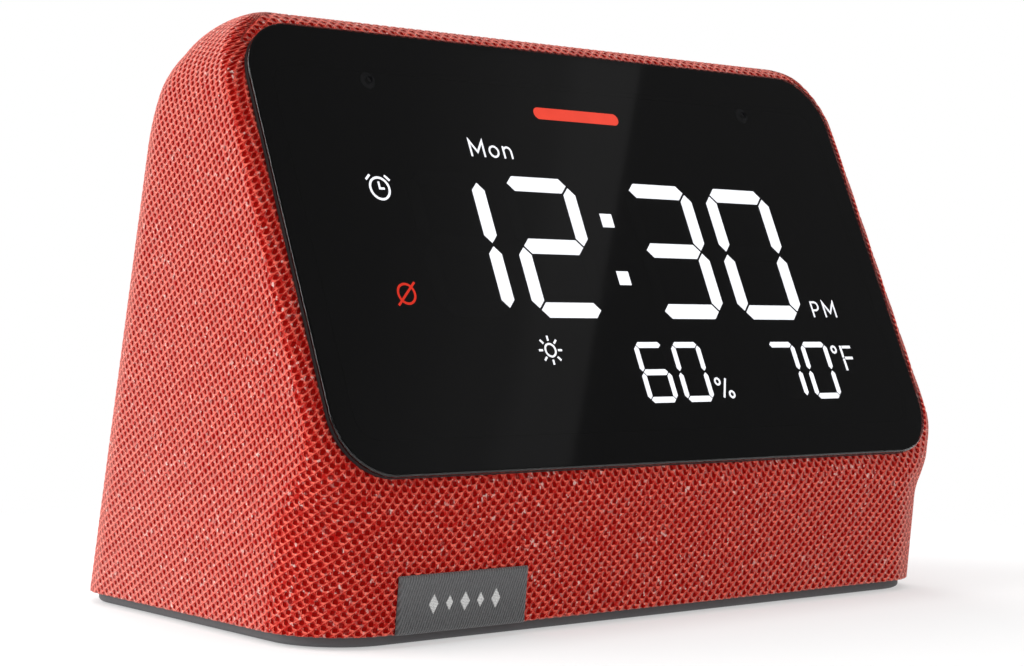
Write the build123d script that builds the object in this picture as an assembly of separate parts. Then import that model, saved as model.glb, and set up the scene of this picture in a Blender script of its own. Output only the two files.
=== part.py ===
from build123d import *
import os
from math import cos, hypot, radians, sin, sqrt, tan

# A bedside smart display: a fabric-covered wedge with a smoked window on its front, a segment display
# behind it, a rear-firing loudspeaker, four buttons on top and a rear panel with power and mute.
# Millimetres. +X is the viewer's right, the window faces -Y, +Z is up.
# The parts are drawn with the ground at ground_level and saved with it at zero, so that the origin is on
# the ground, under the centre of the outer box.

# ---- driving dimensions -------------------------------------------------------------------------
width = 121.0
depth = 64.2
window_stand = 0.4        # the window's lower edge reaches this far in front of the fabric's nose
ground_level = 0.95       # drawing height of the ground
height = 83.95            # drawing height of the top: the object stands 83 tall
face_tilt = 21.5          # the window leans back from vertical
chin_tilt = 6.25          # the chin under the window leans the other way
rear_tilt = 15.05         # the back leans forward
nose_height = 20.0        # drawing height where face and chin meet
nose_radius = 8.5
brow_radius = 3.0         # front top edge
crown_radius = 24.5       # rear top edge
shoulder_radius = 10.5    # top corners, seen from the front
front_corner_low = 11.3   # vertical front edges at the bottom
front_corner_high = 1.2   # vertical front edges beside the window
corner_blend_low = 15.2
corner_blend_high = 28.9
rear_corner_low = 9.0
rear_corner_high = 7.7
skirt_height = 2.4        # drawing height of the fabric's lower edge

fabric_thickness = 0.8
glue_gap = 0.1
wall = 2.0                # housing wall
gap = 0.1                 # general assembly clearance

window_base = 22.0        # drawing height of the window's lower edge, on the face plane
window_width = 115.1
window_length = 64.2      # along the slope
window_corner = 8.5

# ---- outer form ---------------------------------------------------------------------------------
face_angle = radians(face_tilt)
chin_angle = radians(chin_tilt)
rear_angle = radians(rear_tilt)
housing_inset = fabric_thickness + glue_gap
inner_inset = housing_inset + wall

crown_land = 1.2          # the narrow flat that closes the top of the loft
land_drop = brow_radius - sqrt(brow_radius**2 - (crown_land / 2) ** 2)

nose_lift = nose_radius * (1 / cos(chin_angle) - 1 / cos(face_angle)) / (tan(face_angle) + tan(chin_angle))
nose_depth = nose_lift * tan(face_angle) + nose_radius / cos(face_angle)
nose_y = -depth / 2 + window_stand - nose_depth + nose_radius
nose_centre = (nose_y + nose_depth, nose_height + nose_lift)

brow_z = height - brow_radius + land_drop
brow_centre = (nose_y + (brow_z - nose_height) * tan(face_angle) + brow_radius / cos(face_angle), brow_z)


def crown_position():
    """Centre of the rear top arc: tangent to the back and to the front top edge."""
    start_y = depth / 2 - crown_radius / cos(rear_angle)
    along_y, along_z = -sin(rear_angle), cos(rear_angle)
    to_y, to_z = brow_centre[0] - start_y, brow_centre[1] - skirt_height
    middle = to_y * along_y + to_z * along_z
    aside = to_y**2 + to_z**2 - middle**2
    step = middle - sqrt((crown_radius - brow_radius) ** 2 - aside)
    return start_y + step * along_y, skirt_height + step * along_z


crown_centre = crown_position()


def front_y(z, inset):
    """Front surface in the side profile, moved inwards by inset."""
    nose = nose_radius - inset
    brow = brow_radius - inset
    if z < nose_centre[1] - nose * sin(chin_angle):
        return nose_y + (nose_height - z) * tan(chin_angle) + inset / cos(chin_angle)
    if z < nose_centre[1] + nose * sin(face_angle):
        return nose_centre[0] - sqrt(nose**2 - (z - nose_centre[1]) ** 2)
    if brow > 0 and z > brow_centre[1] + brow * sin(face_angle):
        return brow_centre[0] - sqrt(max(brow**2 - (z - brow_centre[1]) ** 2, 0))
    return nose_y + (z - nose_height) * tan(face_angle) + inset / cos(face_angle)


def back_y(z, inset):
    """Rear surface in the side profile, moved inwards by inset."""
    crown = crown_radius - inset
    brow = brow_radius - inset
    reach = crown_radius - brow_radius
    if z < crown_centre[1] + crown * sin(rear_angle):
        return depth / 2 - (z - skirt_height) * tan(rear_angle) - inset / cos(rear_angle)
    if brow > 0 and z > brow_centre[1] + brow * (brow_centre[1] - crown_centre[1]) / reach:
        return brow_centre[0] + sqrt(max(brow**2 - (z - brow_centre[1]) ** 2, 0))
    return crown_centre[0] + sqrt(max(crown**2 - (z - crown_centre[1]) ** 2, 0))


def top_z(inset):
    """Height at which front and back are only the narrow top flat apart."""
    low, high = crown_centre[1], height
    for _ in range(40):
        middle = (low + high) / 2
        if back_y(middle, inset) - front_y(middle, inset) > crown_land:
            low = middle
        else:
            high = middle
    return low


def section_at(z, inset):
    """Horizontal section of the form: a rectangle with its own front and rear corner radii."""
    front, back = front_y(z, inset), back_y(z, inset)
    shoulder_z = height - shoulder_radius
    half = width / 2 - inset
    if z > shoulder_z:
        rise = z - shoulder_z
        half = width / 2 - shoulder_radius + sqrt(max((shoulder_radius - inset) ** 2 - rise**2, 0))
    blend = min(max((corner_blend_high - z) / (corner_blend_high - corner_blend_low), 0), 1)
    blend = blend * blend * (3 - 2 * blend)
    share = (z - skirt_height) / (height - skirt_height)
    limit = (back - front) / 2 - 0.15
    fore = front_corner_high + (front_corner_low - front_corner_high) * blend - inset
    aft = rear_corner_low + (rear_corner_high - rear_corner_low) * share - inset
    fore = min(max(fore, 0.3), limit)
    aft = min(max(aft, 0.3), limit)
    edges = [
        Line((-half + fore, front), (half - fore, front)),
        CenterArc((half - fore, front + fore), fore, -90, 90),
        Line((half, front + fore), (half, back - aft)),
        CenterArc((half - aft, back - aft), aft, 0, 90),
        Line((half - aft, back), (-half + aft, back)),
        CenterArc((-half + aft, back - aft), aft, 90, 90),
        Line((-half, back - aft), (-half, front + fore)),
        CenterArc((-half + fore, front + fore), fore, 180, 90),
    ]
    return Pos(0, 0, z) * make_face(edges)


def form(inset, bottom):
    """The outer form as a solid, moved inwards by inset and cut off level at bottom."""
    top = top_z(inset)
    shoulder_z = height - shoulder_radius
    bend_z = crown_centre[1] + (crown_radius - inset) * sin(rear_angle)
    blend_steps = 12
    crown_steps = 10
    heights = [bottom, 9.0, 45.0, bend_z, (bend_z + shoulder_z) / 2]
    for step in range(blend_steps + 1):
        heights.append(corner_blend_low + (corner_blend_high - corner_blend_low) * step / blend_steps)
    for step in range(crown_steps + 1):
        heights.append(shoulder_z + (top - shoulder_z) * sin(radians(90 * step / crown_steps)))
    return loft([section_at(z, inset) for z in sorted(heights)], ruled=True)


# ---- working planes -----------------------------------------------------------------------------
face_origin_y = nose_y + (window_base - nose_height) * tan(face_angle)
face = Plane((0, face_origin_y, window_base), x_dir=(1, 0, 0), z_dir=(0, -cos(face_angle), sin(face_angle)))

chin = Plane((0, nose_y, nose_height), x_dir=(1, 0, 0), z_dir=(0, -cos(chin_angle), -sin(chin_angle)))

button_lean = radians(24)
button_plane = Plane(
    (0, crown_centre[0] + crown_radius * sin(button_lean), crown_centre[1] + crown_radius * cos(button_lean)),
    x_dir=(1, 0, 0),
    z_dir=(0, sin(button_lean), cos(button_lean)),
)


def rear_plane(z):
    """Plane on the sloping back at height z, seen from behind: x to the viewer's right, y up the slope."""
    y = depth / 2 - (z - skirt_height) * tan(rear_angle)
    return Plane((0, y, z), x_dir=(-1, 0, 0), z_dir=(0, cos(rear_angle), sin(rear_angle)))


def block(plane, shape, low, high):
    """Extrude a flat shape, drawn in plane's own axes, from low to high along the plane's normal."""
    return plane * Pos(0, 0, low) * extrude(shape, high - low)


def ring(outer, inner):
    return Circle(outer) - Circle(inner)


def upright(x, y, radius, low, high):
    """A vertical cylinder."""
    return Pos(x, y, low) * extrude(Circle(radius), high - low)


def cuboid(x_range, y_range, z_range):
    size = [high - low for low, high in (x_range, y_range, z_range)]
    centre = [(low + high) / 2 for low, high in (x_range, y_range, z_range)]
    return Pos(*centre) * Box(*size)


def save(shape, name):
    """Write one part, lowered so that the ground is at zero."""
    export_step(Pos(0, 0, -ground_level) * shape, f"parts/{name}.step")


os.makedirs("parts", exist_ok=True)

# ---- window, bezel and display stack -------------------------------------------------------------
# Heights along the face normal; 0 is the fabric's surface.
flange_low, flange_high = 0.05, 0.60
glue_low, glue_high = 0.61, 0.68
window_low, window_high = 0.70, 1.20
mask_low, mask_high = 0.40, 0.62
glyph_low, glyph_high = 0.42, 0.66
reflector_low, reflector_high = -5.0, 0.35
board_low, board_high = -6.25, -5.05

window_middle = window_length / 2
tunnel_width, tunnel_length, tunnel_corner = 113.2, 61.2, 7.4      # bezel body through the housing
inner_width, inner_low, inner_high, inner_corner = 107.4, 4.9, 58.0, 3.5
inner_middle = (inner_low + inner_high) / 2
inner_length = inner_high - inner_low
bezel_back = -2.6
display_shift = 0.7        # the display's centre line, right of the window's

window_outline = Pos(0, window_middle) * RectangleRounded(window_width, window_length, window_corner)
tunnel_outline = Pos(0, window_middle) * RectangleRounded(tunnel_width, tunnel_length, tunnel_corner)
inner_outline = Pos(0, inner_middle) * RectangleRounded(inner_width, inner_length, inner_corner)


def grown(width_, length_, corner, middle, extra):
    """A rounded rectangle enlarged all round by extra."""
    return Pos(0, middle) * RectangleRounded(width_ + 2 * extra, length_ + 2 * extra, corner + extra)


mic_places = [(-37.5, 56.6), (37.5, 56.6)]
mic_hole = 0.5
light_sensor_place = (24.0, 54.2)

# Everything that shows on the display is drawn from strokes on the face plane.
stroke = 0.27


def bar(start, end, thickness):
    """A straight stroke with square ends."""
    return trace(Line(start, end), thickness)


def pointed_bar(centre, length, thickness, upright_bar):
    """A display segment: a bar whose ends come to a point."""
    half, edge = length / 2, thickness / 2
    outline = [(-half, 0), (-half + edge, edge), (half - edge, edge), (half, 0), (half - edge, -edge),
               (-half + edge, -edge)]
    if upright_bar:
        outline = [(y, x) for x, y in outline]
    return Pos(*centre) * make_face(Polyline(*outline, close=True))


segment_layout = {
    "top": (0, 1, False), "middle": (0, 0, False), "bottom": (0, -1, False),
    "upper_left": (-1, 0.5, True), "upper_right": (1, 0.5, True),
    "lower_left": (-1, -0.5, True), "lower_right": (1, -0.5, True),
}
lit_segments = {
    0: "top bottom upper_left upper_right lower_left lower_right",
    1: "upper_right lower_right",
    2: "top upper_right middle lower_left bottom",
    3: "top upper_right middle lower_right bottom",
    6: "top upper_left middle lower_left lower_right bottom",
    7: "top upper_right lower_right",
}


def digit(value, centre, digit_width, digit_height, thickness, break_gap):
    """Lit and unlit segments of one seven-segment digit."""
    across = digit_width - thickness
    rise = (digit_height - thickness) / 2
    lit, unlit = [], []
    for name, (side, level, standing) in segment_layout.items():
        place = (centre[0] + side * across / 2, centre[1] + level * rise)
        length = (rise if standing else across) - break_gap
        segment = pointed_bar(place, length, thickness, standing)
        (lit if name in lit_segments[value].split() else unlit).append(segment)
    return lit, unlit


big_digit = dict(digit_width=14.0, digit_height=21.5, thickness=2.25, break_gap=0.55)
small_digit = dict(digit_width=5.9, digit_height=9.1, thickness=0.85, break_gap=0.3)
clock_row, reading_row = 32.5, 13.55
digits = [
    (1, (-29.25, clock_row), big_digit), (2, (-12.0, clock_row), big_digit),
    (3, (12.0, clock_row), big_digit), (0, (29.25, clock_row), big_digit),
    (6, (0.9, reading_row), small_digit), (0, (8.3, reading_row), small_digit),
    (7, (28.8, reading_row), small_digit), (0, (36.2, reading_row), small_digit),
]
lit_faces, unlit_faces = [], []
for value, centre, style in digits:
    lit, unlit = digit(value, centre, **style)
    lit_faces += lit
    unlit_faces += unlit
for row in (37.0, 27.95):
    lit_faces.append(Pos(0, row) * Rectangle(2.3, 2.1))

letter_height = 2.6


def letter_m(x, y):
    """A capital M as one stroke, its lower left corner at x, y."""
    half_width, peak, dip = 1.2, letter_height - stroke / 2, 0.7
    corners = [(0, 0), (0, peak), (half_width, dip), (2 * half_width, peak), (2 * half_width, 0)]
    return trace(Polyline(*[(x + across, y + rise) for across, rise in corners]), stroke)


def letters_weekday(x, y):
    """Three letters of a weekday: M, o, n."""
    low = 1.9
    m_shape = letter_m(x, y)
    o_shape = Pos(x + 4.3, y + low / 2) * (Circle(low / 2) - Circle(low / 2 - stroke))
    arch_x, arch_radius = x + 6.85, 0.84
    leg_reach = arch_radius - stroke / 2
    n_arch = Pos(arch_x, y + low - arch_radius) * (Circle(arch_radius) - Circle(arch_radius - stroke))
    n_arch -= Pos(arch_x, y + low - arch_radius - 1) * Rectangle(3, 2)
    left_leg = Pos(arch_x - leg_reach, y + low / 2) * Rectangle(stroke, low)
    right_leg = Pos(arch_x + leg_reach, y + (low - 0.8) / 2) * Rectangle(stroke, low - 0.8)
    return [m_shape, o_shape, n_arch + left_leg + right_leg]


def letters_half_day(x, y):
    """P and M."""
    tall, edge = letter_height, stroke / 2
    bowl = Pos(x + 0.95, y + tall - 0.8) * (Circle(0.8) - Circle(0.8 - stroke))
    bowl -= Pos(x + 0.45, y + tall - 0.8) * Rectangle(1, 2)
    stem = Pos(x + edge, y + tall / 2) * Rectangle(stroke, tall)
    links = Pos(x + 0.5, y + tall - edge) * Rectangle(1, stroke)
    links += Pos(x + 0.5, y + tall - 1.6 + edge) * Rectangle(1, stroke)
    return [bowl + stem + links, letter_m(x + 2.9, y)]


def alarm_symbol(x, y):
    """A small clock face with two hands and two bells."""
    rim = Pos(x, y) * ring(1.75, 1.75 - 0.3)
    hands = trace(Polyline((x, y + 1.0), (x, y), (x + 0.8, y)), 0.28)
    left_bell = bar((x - 2.0, y + 1.25), (x - 1.25, y + 1.95), 0.3)
    right_bell = bar((x + 2.0, y + 1.25), (x + 1.25, y + 1.95), 0.3)
    return [rim, hands, left_bell, right_bell]


def sun_symbol(x, y):
    """A ring with eight rays."""
    ray_start, ray_end, ray_count = 1.4, 2.1, 8
    shapes = [Pos(x, y) * ring(1.05, 0.8)]
    for index in range(ray_count):
        turn = radians(360 / ray_count * index)
        ends = [(x + reach * cos(turn), y + reach * sin(turn)) for reach in (ray_start, ray_end)]
        shapes.append(bar(*ends, 0.27))
    return shapes


def percent_symbol(x, y):
    return [
        Pos(x - 1.15, y + 1.0) * ring(0.62, 0.34),
        Pos(x + 1.15, y - 1.0) * ring(0.62, 0.34),
        bar((x - 0.65, y - 1.45), (x + 0.65, y + 1.45), 0.3),
    ]


def degree_symbol(x, y):
    """A degree ring and an F made of segments."""
    left, tall, thick = x + 1.5, 4.0, 0.4
    foot = y + 0.6 - tall
    return [
        Pos(x, y) * ring(0.66, 0.36),
        Pos(left + thick / 2, foot + tall / 4 - 0.05) * Rectangle(thick, tall / 2 - 0.1),
        Pos(left + thick / 2, foot + 3 * tall / 4 + 0.05) * Rectangle(thick, tall / 2 - 0.1),
        Pos(left + 1.55, foot + tall - thick / 2) * Rectangle(1.9, thick),
        Pos(left + 1.45, foot + tall / 2) * Rectangle(1.7, thick),
    ]


white_symbols = letters_weekday(-22.7, 46.05) + letters_half_day(38.6, 22.2) + alarm_symbol(-40.85, 40.2)
white_symbols += sun_symbol(-18.1, 16.95) + percent_symbol(13.95, 11.0) + degree_symbol(40.65, 16.85)
muted_place = (-40.85, 24.95)
red_symbol = [
    Pos(*muted_place) * ring(1.55, 1.25),
    bar((muted_place[0] - 1.75, muted_place[1] - 1.65), (muted_place[0] + 1.75, muted_place[1] + 1.65), 0.3),
]
light_bar_row = 53.85
light_bar_face = Pos(0, light_bar_row) * SlotOverall(17.0, 1.85)


def shown(shapes):
    """Flat shapes moved to the display's own centre line."""
    return [Pos(display_shift, 0) * shape for shape in shapes]


def joined(shapes):
    """One sketch from shapes that may touch."""
    total = shapes[0]
    for shape in shapes[1:]:
        total = total + shape
    return total


lit_sketch = joined(shown(lit_faces))
unlit_sketch = joined(shown(unlit_faces))
white_sketch = joined(shown(white_symbols))
red_sketch = joined(shown(red_symbol))
bar_sketch = Pos(display_shift, 0) * light_bar_face


def glyphs(sketch):
    return Compound(children=block(face, sketch, glyph_low, glyph_high).solids())


save(glyphs(lit_sketch), "digit_segments_lit")
save(glyphs(unlit_sketch), "digit_segments_unlit")
save(glyphs(white_sketch), "symbols_white")
save(glyphs(red_sketch), "symbol_muted")
status_light_bar = block(face, bar_sketch, glyph_low - 2.5, glyph_high)
save(status_light_bar, "status_light_bar")

# Smoked window: one plate with softened front edges and two microphone holes.
window_plate = block(face, window_outline, window_low, window_high)
front_rim = window_plate.faces().sort_by(Axis((0, 0, 0), face.z_dir))[-1].edges()
display_window = fillet(front_rim, 0.35)
for place in mic_places:
    display_window -= block(face, Pos(*place) * Circle(mic_hole), window_low - 1, window_high + 1)
save(display_window, "display_window")

glue_outer = grown(window_width, window_length, window_corner, window_middle, -0.5)
glue_inner = grown(inner_width, inner_length, inner_corner, inner_middle, 0.6)
save(block(face, glue_outer - glue_inner, glue_low, glue_high), "window_adhesive")

# Bezel: an outer flange over the fabric's cut edge and a body that reaches through the housing.
bezel = block(face, window_outline - inner_outline, flange_low, flange_high)
bezel += block(face, tunnel_outline - inner_outline, bezel_back, flange_low)
display_screw_places = [(x, v) for x in (-55.15, 55.15) for v in (9.0, 31.0, 53.0)]
for place in display_screw_places:
    bezel += block(face, Pos(*place) * Circle(1.4), board_high, bezel_back)
for place in display_screw_places:
    bezel -= block(face, Pos(*place) * Circle(0.62), board_high - 1, -1.0)
save(bezel, "display_bezel")

# Mask: black film with a window for every segment and symbol.
mask_outline = grown(inner_width, inner_length, inner_corner, inner_middle, -0.1)
mic_ports = joined([Pos(*place) * Circle(1.4) for place in mic_places])
cut_margin = 0.03
mask = block(face, mask_outline - mic_ports, mask_low, mask_high)
for sketch in (lit_sketch, unlit_sketch, white_sketch, red_sketch, bar_sketch):
    openings = offset(sketch, cut_margin, kind=Kind.INTERSECTION)
    mask -= block(face, openings, mask_low - 1, mask_high + 1)
save(mask, "display_mask")

# Reflector: a block of light wells, one behind each segment and symbol.
reflector = block(face, mask_outline - mic_ports, reflector_low, reflector_high)
well_floor = reflector_low - 0.5
for sketch in (lit_sketch, unlit_sketch, bar_sketch):
    reflector -= block(face, offset(sketch, 0.04, kind=Kind.INTERSECTION), well_floor, reflector_high + 1)
symbol_wells = [  # x, distance up the face, radius
    (-20.0, 47.2, 5.4),
    (41.5, 23.4, 4.6),
    (-40.85, 40.2, 3.0),
    (*muted_place, 2.9),
    (-18.1, 16.95, 2.7),
    (13.95, 11.0, 2.2),
    (41.9, 15.6, 2.6),
]
for x, v, radius in symbol_wells:
    reflector -= block(face, Pos(x + display_shift, v) * Circle(radius), well_floor, reflector_high + 1)
reflector -= block(face, Pos(*light_sensor_place) * Circle(1.0), well_floor, reflector_high + 1)
for place in mic_places:
    reflector -= block(face, Pos(*place) * Rectangle(4.0, 3.2), well_floor, board_high + 1.3)
save(reflector, "display_reflector")

# Display board with its lamps, light sensor and microphones.
board_outline = Pos(0, 31.2) * RectangleRounded(112.8, 52.4, 1.5)
board_holes = joined([Pos(*place) * Circle(0.75) for place in display_screw_places])
mic_board_holes = joined([Pos(*place) * Circle(0.4) for place in mic_places])
save(block(face, board_outline - board_holes - mic_board_holes, board_low, board_high), "display_board")

lamp = Rectangle(0.8, 0.5)
segment_centres = [segment.center() for segment in list(lit_sketch.faces()) + list(unlit_sketch.faces())]
lamp_spots = [(place.X, place.Y) for place in segment_centres]
lamp_spots += [(x + display_shift, v) for x, v, _ in symbol_wells]
lamp_spots += [(display_shift + x, light_bar_row) for x in (-6.0, -2.0, 2.0, 6.0)]
lamps = [block(face, Pos(*spot) * lamp, board_high + 0.02, board_high + 0.55) for spot in lamp_spots]
save(Compound(children=[solid for lamp_ in lamps for solid in lamp_.solids()]), "display_leds")
sensor = Pos(*light_sensor_place) * Rectangle(1.4, 1.2)
save(block(face, sensor, board_high + 0.02, board_high + 0.6), "light_sensor")

gasket_ring = ring(1.25, 0.55)
gasket_low, gasket_high = board_high + 1.05, window_low - 0.02
gaskets = [block(face, Pos(*place) * gasket_ring, gasket_low, gasket_high) for place in mic_places]
save(Compound(children=[gasket.solid() for gasket in gaskets]), "microphone_gaskets")
microphones = []
for place in mic_places:
    can = block(face, Pos(*place) * Rectangle(3.5, 2.65), board_high + 0.02, board_high + 1.0)
    microphones.append(can - block(face, Pos(*place) * Circle(0.3), board_high + 0.5, board_high + 2))
save(Compound(children=[microphone.solid() for microphone in microphones]), "microphones")


def screw(head_radius, head_height, shank_radius, length):
    """Pan-head screw along local Z: the head's underside is at 0 and the shank points to +Z."""
    head = Pos(0, 0, -head_height) * extrude(Circle(head_radius), head_height)
    head = fillet(head.edges().sort_by(Axis.Z)[0], head_height * 0.4)
    shank = extrude(Circle(shank_radius), length)
    shank = chamfer(shank.edges().sort_by(Axis.Z)[-1], shank_radius * 0.4)
    slot_depth = head_height * 0.55
    cross = Rectangle(head_radius * 1.1, head_radius * 0.3) + Rectangle(head_radius * 0.3, head_radius * 1.1)
    drive = Pos(0, 0, -head_height - 0.01) * extrude(cross, slot_depth)
    return head + shank - drive


def screws_at(plane, places, facing, **sizes):
    """A group of identical screws; facing is the turn that points the shank the right way."""
    body = screw(**sizes)
    return Compound(children=[(plane * Pos(*place) * facing * body).solid() for place in places])


towards_normal = Rot(0, 0, 0)
against_normal = Rot(180, 0, 0)
display_screw_seats = [(x, v, board_low - 0.02) for x, v in display_screw_places]
save(screws_at(face, display_screw_seats, towards_normal, head_radius=1.1, head_height=0.7, shank_radius=0.55,
               length=3.8), "display_screws")

# ---- top buttons --------------------------------------------------------------------------------
button_names = ["button_volume_down", "button_action", "button_alarm", "button_volume_up"]
button_pitch = 15.0
button_length, button_width = 9.6, 6.4
button_slack = 0.2
cap_top, cap_bottom = 0.6, -3.5
flange_bottom = -4.3
stem_bottom = -5.9
switch_top, switch_bottom = -5.1, -7.15
button_places = [(index - 1.5) * button_pitch for index in range(len(button_names))]


def button_symbol(name):
    """Raised mark on a cap."""
    if name == "button_volume_down":
        return Rectangle(2.6, 0.45)
    if name == "button_volume_up":
        return Rectangle(2.6, 0.45) + Rectangle(0.45, 2.6)
    if name == "button_alarm":
        return ring(1.4, 1.0) + Pos(0, 0.5) * Rectangle(0.4, 1.0) + Pos(0.35, 0) * Rectangle(0.9, 0.4)
    return Circle(0.8)


def button(name):
    """Cap, retaining flange under the housing and the stem that works the switch."""
    cap = Pos(0, 0, cap_bottom) * extrude(SlotOverall(button_length, button_width), cap_top - cap_bottom)
    cap = fillet(cap.faces().sort_by(Axis.Z)[-1].edges(), 0.6)
    flange = Pos(0, 0, flange_bottom) * extrude(SlotOverall(10.8, 7.6), cap_bottom - flange_bottom)
    stem = Pos(0, 0, stem_bottom) * extrude(Circle(1.2), flange_bottom - stem_bottom)
    mark = Pos(0, 0, cap_top - 0.2) * extrude(button_symbol(name), 0.35)
    return cap + flange + stem + mark


for name, x in zip(button_names, button_places):
    save(button_plane * Pos(x, 0, 0) * button(name), name)

switch_body = Rectangle(6.0, 6.0) - Circle(1.35)
switches = []
for x in button_places:
    shell = block(button_plane, Pos(x, 0) * switch_body, switch_bottom, switch_top)
    shell += block(button_plane, Pos(x, 0) * Rectangle(6.0, 6.0), switch_bottom, switch_bottom + 0.45)
    switches.append(shell.solid())
save(Compound(children=switches), "button_switches")

board_top, board_bottom = switch_bottom - 0.05, switch_bottom - 1.05
boss_places = [-15.0, 15.0]
button_board = block(button_plane, RectangleRounded(56.0, 9.0, 1.0), board_bottom, board_top)
for x in boss_places:
    button_board -= block(button_plane, Pos(x, 0) * Circle(0.95), board_bottom - 1, board_top + 1)
save(button_board, "button_board")
button_screw_seats = [(x, 0, board_bottom - 0.02) for x in boss_places]
save(screws_at(button_plane, button_screw_seats, towards_normal, head_radius=1.5, head_height=0.8,
               shank_radius=0.75, length=3.6), "button_screws")

# ---- rear panel, mute slider and power socket ----------------------------------------------------
panel_height = 14.0
panel = rear_plane(panel_height)
panel_width, panel_length = 42.0, 12.0
panel_outline = SlotOverall(panel_width, panel_length)
panel_low, panel_high = -3.0, -0.5
slider_x, socket_x = 10.5, -10.5          # seen from behind
slider_travel = 3.0
slider_length, slider_width = 5.0, 2.6
socket_radius = 1.8
socket_front = 23.6

rear_panel = block(panel, panel_outline, panel_low, panel_high)
rear_panel = fillet(rear_panel.faces().sort_by(Axis((0, 0, 0), panel.z_dir))[-1].edges(), 0.4)
rear_panel += block(panel, SlotOverall(panel_width + 3, panel_length + 3), panel_low - 1.0, panel_low)
slot_length = slider_length + slider_travel + 0.3
slot_centre = slider_x - slider_travel / 2
rear_panel -= block(panel, Pos(slot_centre, 0) * SlotOverall(slot_length, slider_width + 0.3), panel_low - 2,
                    panel_high + 1)
socket_bore = Plane((-socket_x, 0, panel_height), x_dir=(1, 0, 0), z_dir=(0, 1, 0))
rear_panel -= block(socket_bore, Circle(3.4), 20, 36)
save(rear_panel, "rear_panel")

slider = block(panel, Pos(slider_x, 0) * SlotOverall(slider_length, slider_width), -4.15, 0.3)
slider = fillet(slider.faces().sort_by(Axis((0, 0, 0), panel.z_dir))[-1].edges(), 0.35)
for rib in (-0.9, 0.0, 0.9):
    slider += block(panel, Pos(slider_x + rib, 0) * Rectangle(0.35, 1.4), 0.2, 0.5)
slider += block(panel, Pos(slider_x, 0) * Rectangle(7.0, 4.4), -4.8, -4.1)
slider += block(panel, Pos(slider_x, 0) * Rectangle(1.4, 1.2), -6.4, -4.8)
save(slider, "mute_slider")

mute_switch = block(panel, Pos(slot_centre, 0) * Rectangle(9.6, 4.0), -8.2, -5.0)
mute_switch -= block(panel, Pos(slot_centre, 0) * Rectangle(1.4 + slider_travel + 0.2, 1.5), -6.8, -4.0)
save(mute_switch, "mute_switch")

# ---- main board ----------------------------------------------------------------------------------
main_low, main_high = 8.6, 9.8
main_half = 45.0
main_front, main_back = -24.0, 22.0
corner_posts = [(x, y) for x in (-41.0, 41.0) for y in (-20.0, 18.0)]
main_board = cuboid((-main_half, main_half), (main_front, main_back), (main_low, main_high))
main_board = fillet(main_board.edges().filter_by(Axis.Z), 2.0)
for x, y in corner_posts:
    main_board -= upright(x, y, 1.2, main_low - 1, main_high + 1)
save(main_board, "main_board")
level = Plane.XY
board_screw_seats = [(x, y, main_high + 0.02) for x, y in corner_posts]
save(screws_at(level, board_screw_seats, against_normal, head_radius=1.9, head_height=1.1, shank_radius=1.0,
               length=5.0), "board_screws")

socket_top = main_high + 0.05 + 2 * (panel_height - main_high - 0.05)
socket_half, socket_length = 3.6, 12.5
socket_sides = (-socket_x - socket_half, -socket_x + socket_half)
socket = cuboid(socket_sides, (socket_front - socket_length, socket_front), (main_high + 0.05, socket_top))
socket -= block(socket_bore, Circle(socket_radius), socket_front - 9.5, socket_front + 1)
save(socket, "power_socket")
socket_pin = block(socket_bore, Circle(0.65), socket_front - 9.45, socket_front - 1.2)
save(fillet(socket_pin.edges().sort_by(Axis.Y)[-1], 0.35), "power_socket_pin")

can_x, can_y = -14.0, -4.0
can_half_x, can_half_y, can_top = 15.0, 11.0, main_high + 2.6
shield_can = cuboid((can_x - can_half_x, can_x + can_half_x), (can_y - can_half_y, can_y + can_half_y),
                    (main_high + 0.05, can_top))
shield_can -= cuboid((can_x - can_half_x + 0.3, can_x + can_half_x - 0.3),
                     (can_y - can_half_y + 0.3, can_y + can_half_y - 0.3), (main_high - 1, can_top - 0.3))
save(shield_can, "shield_can")
chip_z = main_high + 0.05
save(cuboid((can_x - 12, can_x + 1), (can_y - 6.5, can_y + 6.5), (chip_z, chip_z + 1.2)), "processor")
memory = cuboid((can_x + 4, can_x + 12), (can_y - 5, can_y + 5), (chip_z, chip_z + 0.9))
wireless = cuboid((18, 30), (-18, -6), (chip_z, chip_z + 1.6))
amplifier = cuboid((26, 32), (2, 8), (chip_z, chip_z + 0.9))
power_chip = cuboid((0, 4), (12, 16), (chip_z, chip_z + 0.8))
chips = [chip.solid() for chip in (memory, wireless, amplifier, power_chip)]
pad_top = can_top + 1.0
save(cuboid((can_x - 9, can_x + 5), (can_y - 7, can_y + 7), (can_top + 0.02, pad_top)), "thermal_pad")
spreader = cuboid((can_x - 20, can_x + 20), (can_y - 9, can_y + 9), (pad_top + 0.02, pad_top + 1.0))
for side in (-1, 1):
    leg_x = can_x + side * 19.4
    spreader += cuboid((leg_x - 0.6, leg_x + 0.6), (can_y - 4, can_y + 4), (main_high + 0.05, pad_top + 0.5))
save(spreader, "heat_spreader")

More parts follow.
